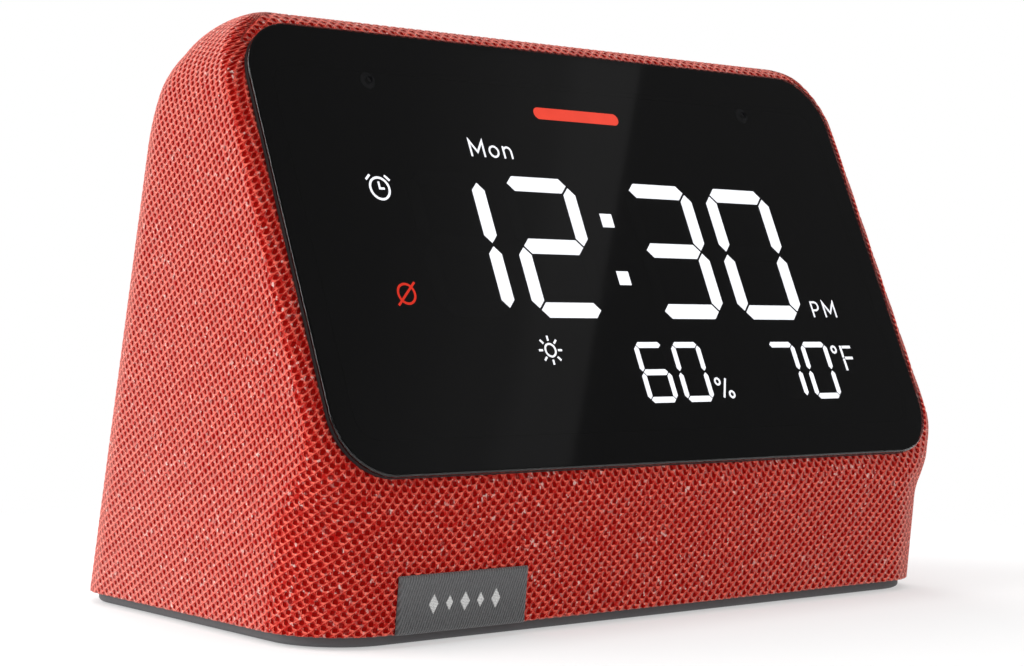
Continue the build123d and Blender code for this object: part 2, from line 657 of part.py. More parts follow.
small_parts = list(chips)
for x in (8.0, 13.0):
    coil = cuboid((x - 2, x + 2), (-12, -8), (chip_z, chip_z + 2.0))
    small_parts.append(fillet(coil.edges().filter_by(Axis.Z), 0.7).solid())
for x, y in ((21.0, 9.0), (21.0, 14.5), (27.5, 13.5)):
    can = upright(x, y, 2.2, chip_z, chip_z + 5.0)
    small_parts.append(fillet(can.edges().sort_by(Axis.Z)[-1], 0.4).solid())
for index in range(8):
    x = -38.0 + 3.0 * index
    small_parts.append(cuboid((x - 0.8, x + 0.8), (11.6, 12.4), (chip_z, chip_z + 0.6)).solid())
connector_places = {  # x, y, length, breadth
    "display": (-26.0, -20.0, 18.0, 3.6),
    "buttons": (36.0, -12.0, 9.0, 3.6),
    "speaker": (37.0, 4.0, 5.0, 4.0),
}
for x, y, length, breadth in connector_places.values():
    small_parts.append(cuboid((x - length / 2, x + length / 2), (y - breadth / 2, y + breadth / 2),
                              (chip_z, chip_z + 1.8)).solid())
save(Compound(children=small_parts), "board_components")

# ---- docking contacts in the base ----------------------------------------------------------------
contact_places = [-6.0, 6.0]
contact_radius = 1.6
contacts = []
for x in contact_places:
    pin = upright(x, 0, contact_radius, ground_level + 0.3, 4.4) + upright(x, 0, 2.1, 4.4, 5.2)
    pin += upright(x, 0, 0.6, 5.2, main_low - 0.05)
    contacts.append(pin.solid())
save(Compound(children=contacts), "dock_contacts")
contact_block = cuboid((-10.5, 10.5), (-3.6, 3.6), (4.25, main_low - 0.1))
for x in contact_places:
    contact_block -= upright(x, 0, 2.15, 4, 5.25) + upright(x, 0, 0.65, 5, main_low)
save(contact_block, "dock_contact_block")

# ---- loudspeaker ---------------------------------------------------------------------------------
speaker_height = 43.0
speaker = rear_plane(speaker_height)
frame_radius = 19.0
frame_front = -5.3          # along the rear normal; the driver reaches inwards from here
gasket_front = -inner_inset - gap
driver = speaker * Pos(0, 0, frame_front)
axis_line = Axis.Z


def turned(outline):
    """Revolve a closed (radius, height) outline about the driver's axis."""
    points = [(radius, 0, level_) for radius, level_ in outline]
    return driver * revolve(make_face(Polyline(*points, close=True)), axis_line, 360)


save(block(speaker, ring(frame_radius, 16.9), frame_front + 0.05, gasket_front), "speaker_gasket")

basket = turned([(18.9, -0.35), (18.9, -1.1), (17.0, -1.1), (12.9, -7.2), (12.9, -8.0), (7.0, -8.0),
                 (7.0, -7.2), (12.1, -7.2), (16.2, -1.0), (16.2, -0.35)])
for index in range(4):
    window_cut = Pos(11.5, 0, -4.2) * Box(14, 11, 4.2)
    basket -= driver * Rot(0, 0, 45 + 90 * index) * window_cut
save(basket, "speaker_frame")
save(turned([(5.2, -8.05), (10.5, -8.05), (10.5, -9.6), (5.2, -9.6)]), "speaker_top_plate")
magnet = turned([(6.6, -9.65), (12.6, -9.65), (13.0, -10.05), (13.0, -13.35), (12.6, -13.75), (6.6, -13.75)])
save(magnet, "speaker_magnet")
save(turned([(0, -8.1), (4.4, -8.1), (4.4, -13.8), (11.5, -13.8), (11.5, -15.0), (0, -15.0)]), "speaker_yoke")
coil_outline = [(4.62, -3.0), (4.75, -3.0), (4.75, -7.4), (5.02, -7.4), (5.02, -10.6), (4.62, -10.6)]
save(turned(coil_outline), "voice_coil")
cone_outline = [(4.80, -3.5), (13.3, -0.55), (13.9, -0.55), (13.9, -0.25), (13.2, -0.25), (4.80, -3.1)]
save(turned(cone_outline), "speaker_cone")
dome = Pos(0, 0, -7.4) * Sphere(6.6) - Pos(0, 0, -7.4) * Sphere(6.3)
dome = dome & Pos(0, 0, -1.6) * Cylinder(5.6, 2.6)
save(driver * dome, "speaker_dust_cap")
roll_centre, roll_radius = 15.0, 1.0
roll_lines = [
    Line((14.0, 0, -0.3), (14.0, 0, 0)),
    ThreePointArc((14.0, 0, 0), (roll_centre, 0, roll_radius), (roll_centre + roll_radius, 0, 0)),
    Line((roll_centre + roll_radius, 0, 0), (18.7, 0, 0)),
    Line((18.7, 0, 0), (18.7, 0, -0.3)),
    Line((18.7, 0, -0.3), (15.7, 0, -0.3)),
    Line((15.7, 0, -0.3), (15.7, 0, 0)),
    ThreePointArc((15.7, 0, 0), (roll_centre, 0, 0.7), (14.3, 0, 0)),
    Line((14.3, 0, 0), (14.3, 0, -0.3)),
    Line((14.3, 0, -0.3), (14.0, 0, -0.3)),
]
save(driver * revolve(make_face(roll_lines), axis_line, 360), "speaker_surround")
ripple = [(5.15 + 0.9 * step, -5.75 + (0.25 if step % 2 else -0.25)) for step in range(8)]
spider_outline = ripple + [(radius, level_ - 0.25) for radius, level_ in reversed(ripple)]
save(turned(spider_outline), "speaker_spider")
terminal_board = driver * Pos(0, -16.3, -5.6) * Box(9.0, 1.0, 4.0)
save(terminal_board, "speaker_terminals")

box_half_x, box_half_y = 30.0, 21.0
box_back = -23.4
box_wall = 1.6
ear_places = [(x, y) for x in (-33.0, 33.0) for y in (-15.0, 15.0)]
rim_level = -inner_inset - 0.15
enclosure = block(speaker, RectangleRounded(2 * box_half_x, 2 * box_half_y, 5.0), box_back, rim_level)
cavity = RectangleRounded(2 * (box_half_x - box_wall), 2 * (box_half_y - box_wall), 3.4)
enclosure -= block(speaker, cavity, box_back + box_wall, rim_level + 1)
for x, y in ear_places:
    toward = -1 if x > 0 else 1
    ear = Pos(x, y) * Circle(2.6) + Pos(x + toward * 1.6, y) * Rectangle(3.2, 5.2)
    enclosure += block(speaker, ear, -8.6, -7.0)
for x, y in ear_places:
    enclosure -= block(speaker, Pos(x, y) * Circle(1.2), -10, -6)
wire_hole = (24.0, -box_half_y)
enclosure -= speaker * Pos(wire_hole[0], wire_hole[1], -14.0) * Rot(90, 0, 0) * Cylinder(1.6, 6)
save(enclosure, "speaker_enclosure")
ear_seats = [(x, y, -8.62) for x, y in ear_places]
ear_screws = screws_at(speaker, ear_seats, towards_normal, head_radius=2.0, head_height=1.1,
                       shank_radius=1.0, length=4.6)

driver_bosses = [(x, y) for x in (-15.4, 15.4) for y in (-15.4, 15.4)]
clamp_seats = [(x, y, frame_front - 1.45) for x, y in driver_bosses]
clamp_screws = screws_at(speaker, clamp_seats, towards_normal, head_radius=3.0, head_height=1.0,
                         shank_radius=0.9, length=3.2)
save(Compound(children=list(ear_screws.solids()) + list(clamp_screws.solids())), "speaker_screws")


def wire(points, radius, bend):
    """A round wire along a path with rounded bends."""
    path = FilletPolyline(*points, radius=bend)
    start = Plane(origin=path @ 0, z_dir=path % 0)
    return sweep(start * Circle(radius), path=path)


def on_speaker(x, y, z):
    spot = speaker.from_local_coords(Vector(x, y, z))
    return spot.X, spot.Y, spot.Z


wires = []
for side in (-0.75, 0.75):
    exit_x = wire_hole[0] + side
    wires.append(wire([
        on_speaker(2.2 + side, -16.85, frame_front - 6.0),
        on_speaker(2.2 + side, -18.0, frame_front - 6.0),
        on_speaker(exit_x, -18.0, -14.0),
        on_speaker(exit_x, -24.2, -14.0),
        (-35.5 - side, 9.0, 14.6),
        (-37.0 - side, 4.0, 14.6),
        (-37.0 - side, 4.0, chip_z + 1.9),
    ], 0.45, 1.0).solid())
save(Compound(children=wires), "speaker_wires")

# ---- flat cables and antennas ---------------------------------------------------------------------
ribbon_thickness = 0.25


def flat_cable(points, middle_x, breadth):
    """A flat cable that bends in the side view only."""
    path = Plane.YZ * trace(FilletPolyline(*points, radius=1.0), ribbon_thickness)
    return Pos(middle_x - breadth / 2, 0, 0) * extrude(path, breadth, dir=(1, 0, 0))


def on_face(v, n):
    spot = face.from_local_coords(Vector(0, v, n))
    return spot.Y, spot.Z


display_plug = connector_places["display"]
ribbon_path = [
    on_face(9.5, board_low - 0.3),
    on_face(9.5, board_low - 3.0),
    on_face(1.0, board_low - 5.0),
    (display_plug[1], chip_z + 4.5),
    (display_plug[1], chip_z + 2.0),
]
ribbon = flat_cable(ribbon_path, display_plug[0], 14.0)
save(ribbon, "display_cable")
button_plug = connector_places["buttons"]
tail = flat_cable([on_face(59.3, -8.3), on_face(16.0, -8.3), (button_plug[1], 19.0),
                   (button_plug[1], chip_z + 2.0)], 24.5, 5.0)
save(tail, "button_cable")
antennas = []
for side in (-1, 1):
    antennas.append(cuboid((side * 56.6 - 0.15, side * 56.6 + 0.15), (-4.0, 10.0), (30.0, 52.0)).solid())
save(Compound(children=antennas), "wireless_antennas")

# ---- base -----------------------------------------------------------------------------------------
base_inset = 1.3
tray_inset = 3.4
foot_top = skirt_height - 0.05
tray_floor, tray_top = 1.8, 3.85
screw_seat = 3.2
base_screw_places = [(x, y) for x in (-51.0, 51.0) for y in (-18.0, 18.0)]


def footprint(inset):
    """The form's lowest section, moved inwards by inset."""
    return Pos(0, 0, -skirt_height) * section_at(skirt_height, inset)


foot = Pos(0, 0, ground_level) * extrude(footprint(base_inset), foot_top - ground_level)
foot = fillet(foot.faces().sort_by(Axis.Z)[0].edges(), 0.5)
foot -= Pos(0, 0, tray_floor - 0.05) * extrude(footprint(tray_inset - gap), 4)
for x in contact_places:
    foot -= upright(x, 0, contact_radius + 0.4, -1, 3)
save(foot, "base_foot")

tray = Pos(0, 0, tray_floor) * extrude(footprint(tray_inset), tray_top - tray_floor)
for x, y in corner_posts:
    tray += upright(x, y, 3.0, 3.8, main_low - 0.05)
for x, y in corner_posts:
    tray -= upright(x, y, 1.05, 4.6, main_low + 1)
for x, y in base_screw_places:
    tray -= upright(x, y, 2.6, 0, screw_seat + 0.02) + upright(x, y, 1.3, 2, 6)
for x in contact_places:
    tray -= upright(x, 0, contact_radius + 0.15, 0, 6)
save(tray, "base_plate")
base_screw_seats = [(x, y, screw_seat) for x, y in base_screw_places]
save(screws_at(level, base_screw_seats, towards_normal, head_radius=2.3, head_height=1.3, shank_radius=1.1,
               length=8.5), "base_screws")

# ---- housing --------------------------------------------------------------------------------------
housing = form(housing_inset, skirt_height + 0.1) - form(inner_inset, skirt_height - 1)
housing_window = grown(tunnel_width, tunnel_length, tunnel_corner, window_middle, 0.15)
housing -= block(face, housing_window, -8, 4)


def button_opening(slack, low, high):
    hole = SlotOverall(button_length + 2 * slack, button_width + 2 * slack)
    return [block(button_plane, Pos(x, 0) * hole, low, high) for x in button_places]


inner_solid = form(inner_inset - 0.4, skirt_height)
bosses = []
for x, y in base_screw_places:
    side = 1 if x > 0 else -1
    post = upright(x, y, 3.0, 4.2, 16.0) + cuboid(sorted((x, side * 58.5)), (y - 1.5, y + 1.5), (4.2, 16.0))
    bosses.append(post)
for x in boss_places:
    bosses.append(block(button_plane, Pos(x, 0) * Circle(1.75), board_top + 0.02, -1.5))
for x, y in ear_places:
    bosses.append(block(speaker, Pos(x, y) * Circle(2.4), -6.98, -2.0))
for x, y in driver_bosses:
    bosses.append(block(speaker, Pos(x, y) * Circle(1.7), frame_front - 0.2, -2.0))
for boss in bosses:
    housing += boss & inner_solid
for x, y in base_screw_places:
    housing -= upright(x, y, 1.15, 3, 13)
for x in boss_places:
    housing -= block(button_plane, Pos(x, 0) * Circle(0.8), board_top - 1, -4.2)
for x, y in ear_places:
    housing -= block(speaker, Pos(x, y) * Circle(1.05), -8, -3.6)
for x, y in driver_bosses:
    housing -= block(speaker, Pos(x, y) * Circle(0.95), -7, -3.2)
for opening in button_opening(button_slack, -5, 4):
    housing -= opening
panel_opening = SlotOverall(panel_width + 0.3, panel_length + 0.3)
housing -= block(panel, panel_opening, -6, 3)
grille = []
grille_pitch, grille_hole, grille_radius = 3.2, 0.9, 14.5
for row in range(-5, 6):
    for column in range(-5, 6):
        x = grille_pitch * (column + (0.5 if row % 2 else 0))
        y = grille_pitch * row * sin(radians(60))
        if hypot(x, y) < grille_radius:
            grille.append(Pos(x, y) * Circle(grille_hole))
housing -= block(speaker, joined(grille), -6, 3)
save(housing, "main_housing")

# ---- fabric cover and sewn tag ---------------------------------------------------------------------
cover = form(0, skirt_height) - form(fabric_thickness, skirt_height - 1)
cover -= block(face, grown(tunnel_width, tunnel_length, tunnel_corner, window_middle, 0.2), -8, 4)
for opening in button_opening(button_slack + 0.1, -5, 4):
    cover -= opening
cover -= block(panel, SlotOverall(panel_width + 0.4, panel_length + 0.4), -6, 3)
save(cover, "fabric_cover")

tag_left, tag_right = -48.2, -26.7
tag_top, tag_bottom = -10.2, -17.8      # down the chin from the nose
tag_width, tag_length = tag_right - tag_left, tag_top - tag_bottom
tag_centre = ((tag_left + tag_right) / 2, (tag_top + tag_bottom) / 2)
tag_outline = Pos(*tag_centre) * RectangleRounded(tag_width, tag_length, 0.25)
tag = block(chin, tag_outline, 0.03, 0.68)
save(fillet(tag.edges().filter_by(Axis.X), 0.2), "label_tag")
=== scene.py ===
from math import asin, cos, pi, radians, sin, sqrt, tan

import bpy
import numpy as np
from mathutils import Euler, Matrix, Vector


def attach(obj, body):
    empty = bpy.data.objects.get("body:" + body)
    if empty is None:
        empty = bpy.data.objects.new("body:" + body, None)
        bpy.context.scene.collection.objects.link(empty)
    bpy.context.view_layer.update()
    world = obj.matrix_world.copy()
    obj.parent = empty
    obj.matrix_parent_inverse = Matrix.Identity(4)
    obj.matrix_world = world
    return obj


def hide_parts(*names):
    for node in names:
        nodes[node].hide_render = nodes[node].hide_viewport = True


# Looks for the bedside smart display. Lengths in the fabric and tag sections are in millimetres, with
# +X to the viewer's right, the window facing -Y and +Z up.
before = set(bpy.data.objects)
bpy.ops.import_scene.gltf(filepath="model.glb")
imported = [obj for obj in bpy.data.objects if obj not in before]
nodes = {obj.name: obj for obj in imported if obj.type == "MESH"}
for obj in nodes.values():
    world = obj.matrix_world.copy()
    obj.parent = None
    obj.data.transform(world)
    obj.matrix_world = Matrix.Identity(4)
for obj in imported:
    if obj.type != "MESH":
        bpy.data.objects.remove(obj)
bpy.context.view_layer.update()
MM = 0.001
scene = bpy.context.scene


# ---- shader building -------------------------------------------------------------------------------
class Graph:
    """A node material under construction."""

    def __init__(self, name):
        self.material = bpy.data.materials.new(name)
        self.material.use_nodes = True
        self.tree = self.material.node_tree
        self.surface = self.tree.nodes["Principled BSDF"]
        self.output = self.tree.nodes["Material Output"]

    def feed(self, socket, value):
        """Link an output to a socket, or set the socket's own value."""
        if isinstance(value, bpy.types.NodeSocket):
            self.tree.links.new(value, socket)
        else:
            socket.default_value = value

    def add(self, kind, sockets=None, **settings):
        """A new node with its settings made and its sockets fed."""
        node = self.tree.nodes.new(kind)
        for key, value in settings.items():
            setattr(node, key, value)
        for key, value in (sockets or {}).items():
            self.feed(node.inputs[key], value)
        return node

    def math(self, operation, *values):
        node = self.add("ShaderNodeMath", operation=operation)
        for index, value in enumerate(values):
            self.feed(node.inputs[index], value)
        return node.outputs[0]

    def smooth(self, value, low, high):
        """0 below low and 1 above high, turning smoothly between; low may be the larger."""
        node = self.add("ShaderNodeMapRange", {"Value": value, "From Min": low, "From Max": high},
                        interpolation_type="SMOOTHSTEP")
        return node.outputs["Result"]

    def mix(self, factor, first, second, blend_type="MIX"):
        node = self.add("ShaderNodeMix", data_type="RGBA", blend_type=blend_type)
        for index, value in ((0, factor), (6, first), (7, second)):
            self.feed(node.inputs[index], value)
        return node.outputs[2]

    def position(self, stretch=(1, 1, 1)):
        """Object coordinates in millimetres, each axis scaled by stretch."""
        place = self.add("ShaderNodeTexCoord").outputs["Object"]
        per_mm = [share / MM for share in stretch]
        return self.add("ShaderNodeVectorMath", {0: place, 1: per_mm}, operation="MULTIPLY").outputs[0]

    def noise(self, per_mm, detail=2.0, stretch=(1, 1, 1)):
        sockets = {"Vector": self.position(stretch), "Scale": per_mm, "Detail": detail, "Roughness": 0.55}
        return self.add("ShaderNodeTexNoise", sockets).outputs["Fac"]

    def bump(self, height, depth_mm, strength=1.0):
        sockets = {"Height": height, "Distance": depth_mm * MM, "Strength": strength}
        self.feed(self.surface.inputs["Normal"], self.add("ShaderNodeBump", sockets).outputs["Normal"])

    def finish(self, colour, roughness, metallic=0.0):
        for name, value in (("Base Color", colour), ("Roughness", roughness), ("Metallic", metallic)):
            self.feed(self.surface.inputs[name], value)
        return self.material


def shade(colour, factor):
    """The colour times factor, with full alpha."""
    return [min(channel * factor, 1.0) for channel in colour[:3]] + [1.0]


def moulded(name, colour, roughness=0.5, grain=3.0, relief=0.02, spread=0.14):
    """Moulded plastic or rubber: fine spark texture, slow tone changes and a little dust."""
    graph = Graph(name)
    cloud = graph.noise(0.08, 3.0)
    speck = graph.noise(grain, 2.0)
    tone = graph.mix(cloud, shade(colour, 1 - spread), shade(colour, 1 + spread))
    dust = graph.smooth(graph.noise(0.9, 4.0), 0.62, 0.78)
    tone = graph.mix(graph.math("MULTIPLY", dust, 0.25), tone, shade(colour, 1.6))
    rough = graph.math("ADD", roughness - 0.08, graph.math("MULTIPLY", speck, 0.16))
    graph.bump(speck, relief)
    return graph.finish(tone, rough)


def brushed(name, colour, roughness=0.32, stretch=(0.08, 1, 1)):
    """Rolled or turned metal with fine lines and faint stains."""
    graph = Graph(name)
    lines = graph.noise(6.0, 3.0, stretch)
    stain = graph.smooth(graph.noise(0.25, 4.0), 0.45, 0.75)
    tone = graph.mix(lines, shade(colour, 0.8), shade(colour, 1.12))
    tone = graph.mix(graph.math("MULTIPLY", stain, 0.3), tone, shade(colour, 0.55))
    rough = graph.math("ADD", roughness, graph.math("MULTIPLY", lines, 0.2))
    graph.bump(lines, 0.01)
    return graph.finish(tone, rough, 1.0)


def circuit_board(name, colour):
    """Solder mask over copper tracks."""
    graph = Graph(name)
    sockets = {"Vector": graph.position(), "Scale": 0.55}
    tracks = graph.add("ShaderNodeTexVoronoi", sockets, feature="DISTANCE_TO_EDGE", distance="EUCLIDEAN")
    track = graph.smooth(tracks.outputs["Distance"], 0.09, 0.05)
    pads = graph.add("ShaderNodeTexVoronoi", {"Vector": graph.position(), "Scale": 0.35})
    pad = graph.smooth(pads.outputs["Distance"], 0.13, 0.10)
    tone = graph.mix(track, shade(colour, 0.8), shade(colour, 1.9))
    tone = graph.mix(pad, tone, (0.55, 0.42, 0.2, 1))
    graph.bump(graph.math("ADD", track, pad), 0.03)
    return graph.finish(tone, graph.math("ADD", 0.3, graph.math("MULTIPLY", graph.noise(2.0), 0.15)))


def lined(name, colour, per_mm, axis, roughness=0.4, metallic=0.0, contrast=0.3):
    """Parallel fine lines: the conductors of a flat cable or the turns of a coil."""
    graph = Graph(name)
    along = graph.add("ShaderNodeSeparateXYZ", {0: graph.position()}).outputs[axis]
    wave = graph.math("COSINE", graph.math("MULTIPLY", along, 2 * pi * per_mm))
    line = graph.smooth(wave, -0.3, 0.6)
    tone = graph.mix(line, shade(colour, 1 - contrast), shade(colour, 1 + contrast))
    tone = graph.mix(graph.math("MULTIPLY", graph.noise(1.2), 0.3), tone, shade(colour, 0.7))
    graph.bump(line, 0.05)
    return graph.finish(tone, roughness, metallic)


def fibrous(name, colour, per_mm=2.5, relief=0.06):
    """Pressed paper or resin-dipped cloth."""
    graph = Graph(name)
    fibre = graph.noise(per_mm, 6.0, (1, 0.35, 1))
    cross = graph.noise(per_mm, 6.0, (0.35, 1, 1))
    felt = graph.math("MULTIPLY", graph.math("ADD", fibre, cross), 0.5)
    tone = graph.mix(graph.smooth(felt, 0.35, 0.65), shade(colour, 0.7), shade(colour, 1.4))
    graph.bump(felt, relief)
    return graph.finish(tone, 0.85)


def lit(name, colour, strength):
    """A diffuser lit from behind, slightly brighter over each lamp."""
    graph = Graph(name)
    glow = graph.math("ADD", 0.9, graph.math("MULTIPLY", graph.noise(0.35, 1.0), 0.2))
    tone = graph.mix(graph.noise(0.5, 1.0), shade(colour, 0.96), shade(colour, 1.0))
    graph.feed(graph.surface.inputs["Emission Color"], tone)
    graph.feed(graph.surface.inputs["Emission Strength"], graph.math("MULTIPLY", glow, strength))
    graph.bump(graph.noise(4.0), 0.01)
    return graph.finish(shade(colour, 0.5), 0.5)


def smoked(name):
    """Smoked polished acrylic: dims what is behind it and mirrors the room faintly."""
    graph = Graph(name)
    haze = graph.noise(0.05, 2.0)
    tint = graph.mix(haze, (0.50, 0.50, 0.51, 1), (0.53, 0.53, 0.54, 1))
    through = graph.add("ShaderNodeBsdfTransparent", {"Color": tint})
    smear = graph.smooth(graph.noise(0.12, 4.0, (1, 1, 2)), 0.5, 0.8)
    gloss_rough = graph.math("ADD", 0.035, graph.math("MULTIPLY", smear, 0.03))
    gloss = graph.add("ShaderNodeBsdfGlossy", {"Color": (1, 1, 1, 1), "Roughness": gloss_rough})
    share = graph.add("ShaderNodeFresnel", {"IOR": 1.49}).outputs["Fac"]
    outer_face = graph.math("SUBTRACT", 1.0, graph.add("ShaderNodeNewGeometry").outputs["Backfacing"])
    share = graph.math("MULTIPLY", share, outer_face)
    blend = graph.add("ShaderNodeMixShader", {0: share, 1: through.outputs[0], 2: gloss.outputs[0]})
    graph.feed(graph.output.inputs["Surface"], blend.outputs[0])
    return graph.material


# Looks of the CAD's material slots; the knit and the tag have their own further down.
finishes = {
    "housing_plastic": lambda n: moulded(n, (0.085, 0.028, 0.027), 0.55, 3.0, 0.03),
    "base_rubber": lambda n: moulded(n, (0.078, 0.078, 0.082), 0.62, 2.2, 0.03, 0.10),
    "dark_plastic": lambda n: moulded(n, (0.03, 0.03, 0.033), 0.42, 4.0, 0.02),
    "button_plastic": lambda n: moulded(n, (0.105, 0.105, 0.11), 0.45, 5.0, 0.015),
    "smoked_window": smoked,
    "mask_black": lambda n: moulded(n, (0.008, 0.008, 0.009), 0.7, 6.0, 0.01),
    "reflector_white": lambda n: moulded(n, (0.03, 0.03, 0.03), 0.6, 3.0, 0.02),
    "segment_on": lambda n: lit(n, (0.98, 0.99, 1.0), 4.3),
    "segment_off": lambda n: moulded(n, (0.012, 0.012, 0.013), 0.6, 5.0, 0.01),
    "segment_red": lambda n: lit(n, (1.0, 0.045, 0.02), 2.6),
    "light_bar_orange": lambda n: lit(n, (1.0, 0.078, 0.042), 3.3),
    "circuit_board": lambda n: circuit_board(n, (0.012, 0.06, 0.03)),
    "chip_black": lambda n: moulded(n, (0.02, 0.02, 0.021), 0.5, 6.0, 0.02),
    "led_white": lambda n: moulded(n, (0.8, 0.76, 0.6), 0.4, 3.0, 0.01),
    "small_parts": lambda n: moulded(n, (0.11, 0.1, 0.085), 0.4, 3.0, 0.02),
    "flex": lambda n: lined(n, (0.30, 0.14, 0.03), 1.0, "X"),
    "thermal_grey": lambda n: moulded(n, (0.33, 0.34, 0.37), 0.8, 2.0, 0.05),
    "aluminium_plate": lambda n: brushed(n, (0.78, 0.79, 0.80), 0.35),
    "tinned_steel": lambda n: brushed(n, (0.66, 0.66, 0.65), 0.30, (1, 0.1, 1)),
    "basket_steel": lambda n: moulded(n, (0.035, 0.035, 0.037), 0.45, 2.0, 0.03),
    "magnet_dark": lambda n: moulded(n, (0.055, 0.055, 0.06), 0.7, 1.5, 0.05),
    "screw_steel": lambda n: brushed(n, (0.52, 0.51, 0.5), 0.28, (1, 1, 0.1)),
    "cone_paper": lambda n: fibrous(n, (0.035, 0.034, 0.034)),
    "spider_cloth": lambda n: fibrous(n, (0.45, 0.25, 0.09), 3.0, 0.1),
    "coil_copper": lambda n: lined(n, (0.72, 0.30, 0.14), 4.0, "Z", 0.3, 1.0, 0.35),
    "contact_gold": lambda n: brushed(n, (0.86, 0.62, 0.26), 0.22),
    "wire_insulation": lambda n: moulded(n, (0.35, 0.02, 0.015), 0.4, 2.0, 0.02),
}
made = {slot_name: build(slot_name + "_look") for slot_name, build in finishes.items()}
soft_slots = ("knit_red", "tag_grey")
for node in nodes.values():
    for holder in node.material_slots:
        slot_name = holder.material.name.split(".")[0]
        if slot_name not in soft_slots:
            holder.material = made[slot_name]

# The bezel is seen only through the window, where it is printed black like the mask.
nodes["display_bezel"].material_slots[0].material = made["mask_black"]

# ---- the fabric's form -------------------------------------------------------------------------------
# Heights here are drawing heights, as in the CAD part: the ground lies at ground_level.
ground_level = 0.95
width, depth, height = 121.0, 64.2, 83.95
window_stand = 0.4                      # the window's lower edge in front of the fabric's nose
face_angle, chin_angle, rear_angle = radians(21.5), radians(6.25), radians(15.05)
nose_height, nose_radius, brow_radius, crown_radius, shoulder_radius = 20.0, 8.5, 3.0, 24.5, 10.5
front_corner_low, front_corner_high = 11.3, 1.2
corner_blend_low, corner_blend_high = 15.2, 28.9
rear_corner_low, rear_corner_high = 9.0, 7.7
skirt_height = 2.4
crown_land = 1.2
fabric_thickness = 0.8
smallest_corner, corner_spare = 0.3, 0.15

land_drop = brow_radius - sqrt(brow_radius**2 - (crown_land / 2) ** 2)
nose_lift = nose_radius * (1 / cos(chin_angle) - 1 / cos(face_angle)) / (tan(face_angle) + tan(chin_angle))
nose_depth = nose_lift * tan(face_angle) + nose_radius / cos(face_angle)
nose_y = -depth / 2 + window_stand - nose_depth + nose_radius
nose_centre = (nose_y + nose_depth, nose_height + nose_lift)
brow_z = height - brow_radius + land_drop
brow_centre = (nose_y + (brow_z - nose_height) * tan(face_angle) + brow_radius / cos(face_angle), brow_z)


def crown_position():
    """Centre of the rear top arc: tangent to the back and to the front top edge."""
    start_y = depth / 2 - crown_radius / cos(rear_angle)
    along_y, along_z = -sin(rear_angle), cos(rear_angle)
    to_y, to_z = brow_centre[0] - start_y, brow_centre[1] - skirt_height
    middle = to_y * along_y + to_z * along_z
    aside = to_y**2 + to_z**2 - middle**2
    step = middle - sqrt((crown_radius - brow_radius) ** 2 - aside)
    return start_y + step * along_y, skirt_height + step * along_z


crown_centre = crown_position()


def front_y(z):
    """Front surface in the side profile."""
    if z < nose_centre[1] - nose_radius * sin(chin_angle):
        return nose_y + (nose_height - z) * tan(chin_angle)
    if z < nose_centre[1] + nose_radius * sin(face_angle):
        return nose_centre[0] - sqrt(nose_radius**2 - (z - nose_centre[1]) ** 2)
    if z > brow_centre[1] + brow_radius * sin(face_angle):
        return brow_centre[0] - sqrt(max(brow_radius**2 - (z - brow_centre[1]) ** 2, 0))
    return nose_y + (z - nose_height) * tan(face_angle)


def back_y(z):
    """Rear surface in the side profile."""
    reach = crown_radius - brow_radius
    if z < crown_centre[1] + crown_radius * sin(rear_angle):
        return depth / 2 - (z - skirt_height) * tan(rear_angle)
    if z > brow_centre[1] + brow_radius * (brow_centre[1] - crown_centre[1]) / reach:
        return brow_centre[0] + sqrt(max(brow_radius**2 - (z - brow_centre[1]) ** 2, 0))
    return crown_centre[0] + sqrt(max(crown_radius**2 - (z - crown_centre[1]) ** 2, 0))


def half_width(z):
    """Half the width at height z, narrowing through the rounded shoulders."""
    rise = z - (height - shoulder_radius)
    if rise <= 0:
        return width / 2
    return width / 2 - shoulder_radius + sqrt(max(shoulder_radius**2 - rise**2, 0))


def top_level():
    """Height at which front and back are only the narrow top flat apart."""
    low, high = crown_centre[1], height
    for _ in range(40):
        middle = (low + high) / 2
        if back_y(middle) - front_y(middle) > crown_land:
            low = middle
        else:
            high = middle
    return low


def smoothstep(low, high, value):
    """0 below low and 1 above high, turning smoothly between."""
    share = np.clip((value - low) / (high - low), 0, 1)
    return share * share * (3 - 2 * share)


# ---- knit pattern ----------------------------------------------------------------------------------
# The knit is a staggered lattice of small holes. Its two counters run across (wale) and up (course),
# both in millimetres of cloth; the cloth is laid on the back first and drawn round the sides.
wale_pitch, course_pitch = 1.58, 1.43
cloth_half = 232 * wale_pitch / 2       # the back's centre line; a whole number of wales all round
side_stretch = 1.08
chin_turn = (38.0, 56.0)                # where the cloth changes from chin to side, from the centre
top_strip_z = 79.0                      # above this the cloth over the window hangs from the top
top_strip_end = 2.0
wale_lean, wale_lean_from = 0.10, 12.0  # the chin's wales lean, more towards the right
lean_start = -45.0
course_slope = 0.03                     # and its courses fall to the right
wander_depth = 0.12                     # hand-stretched unevenness of the courses
knit_relief = 0.17
yarn_wobble = 0.22


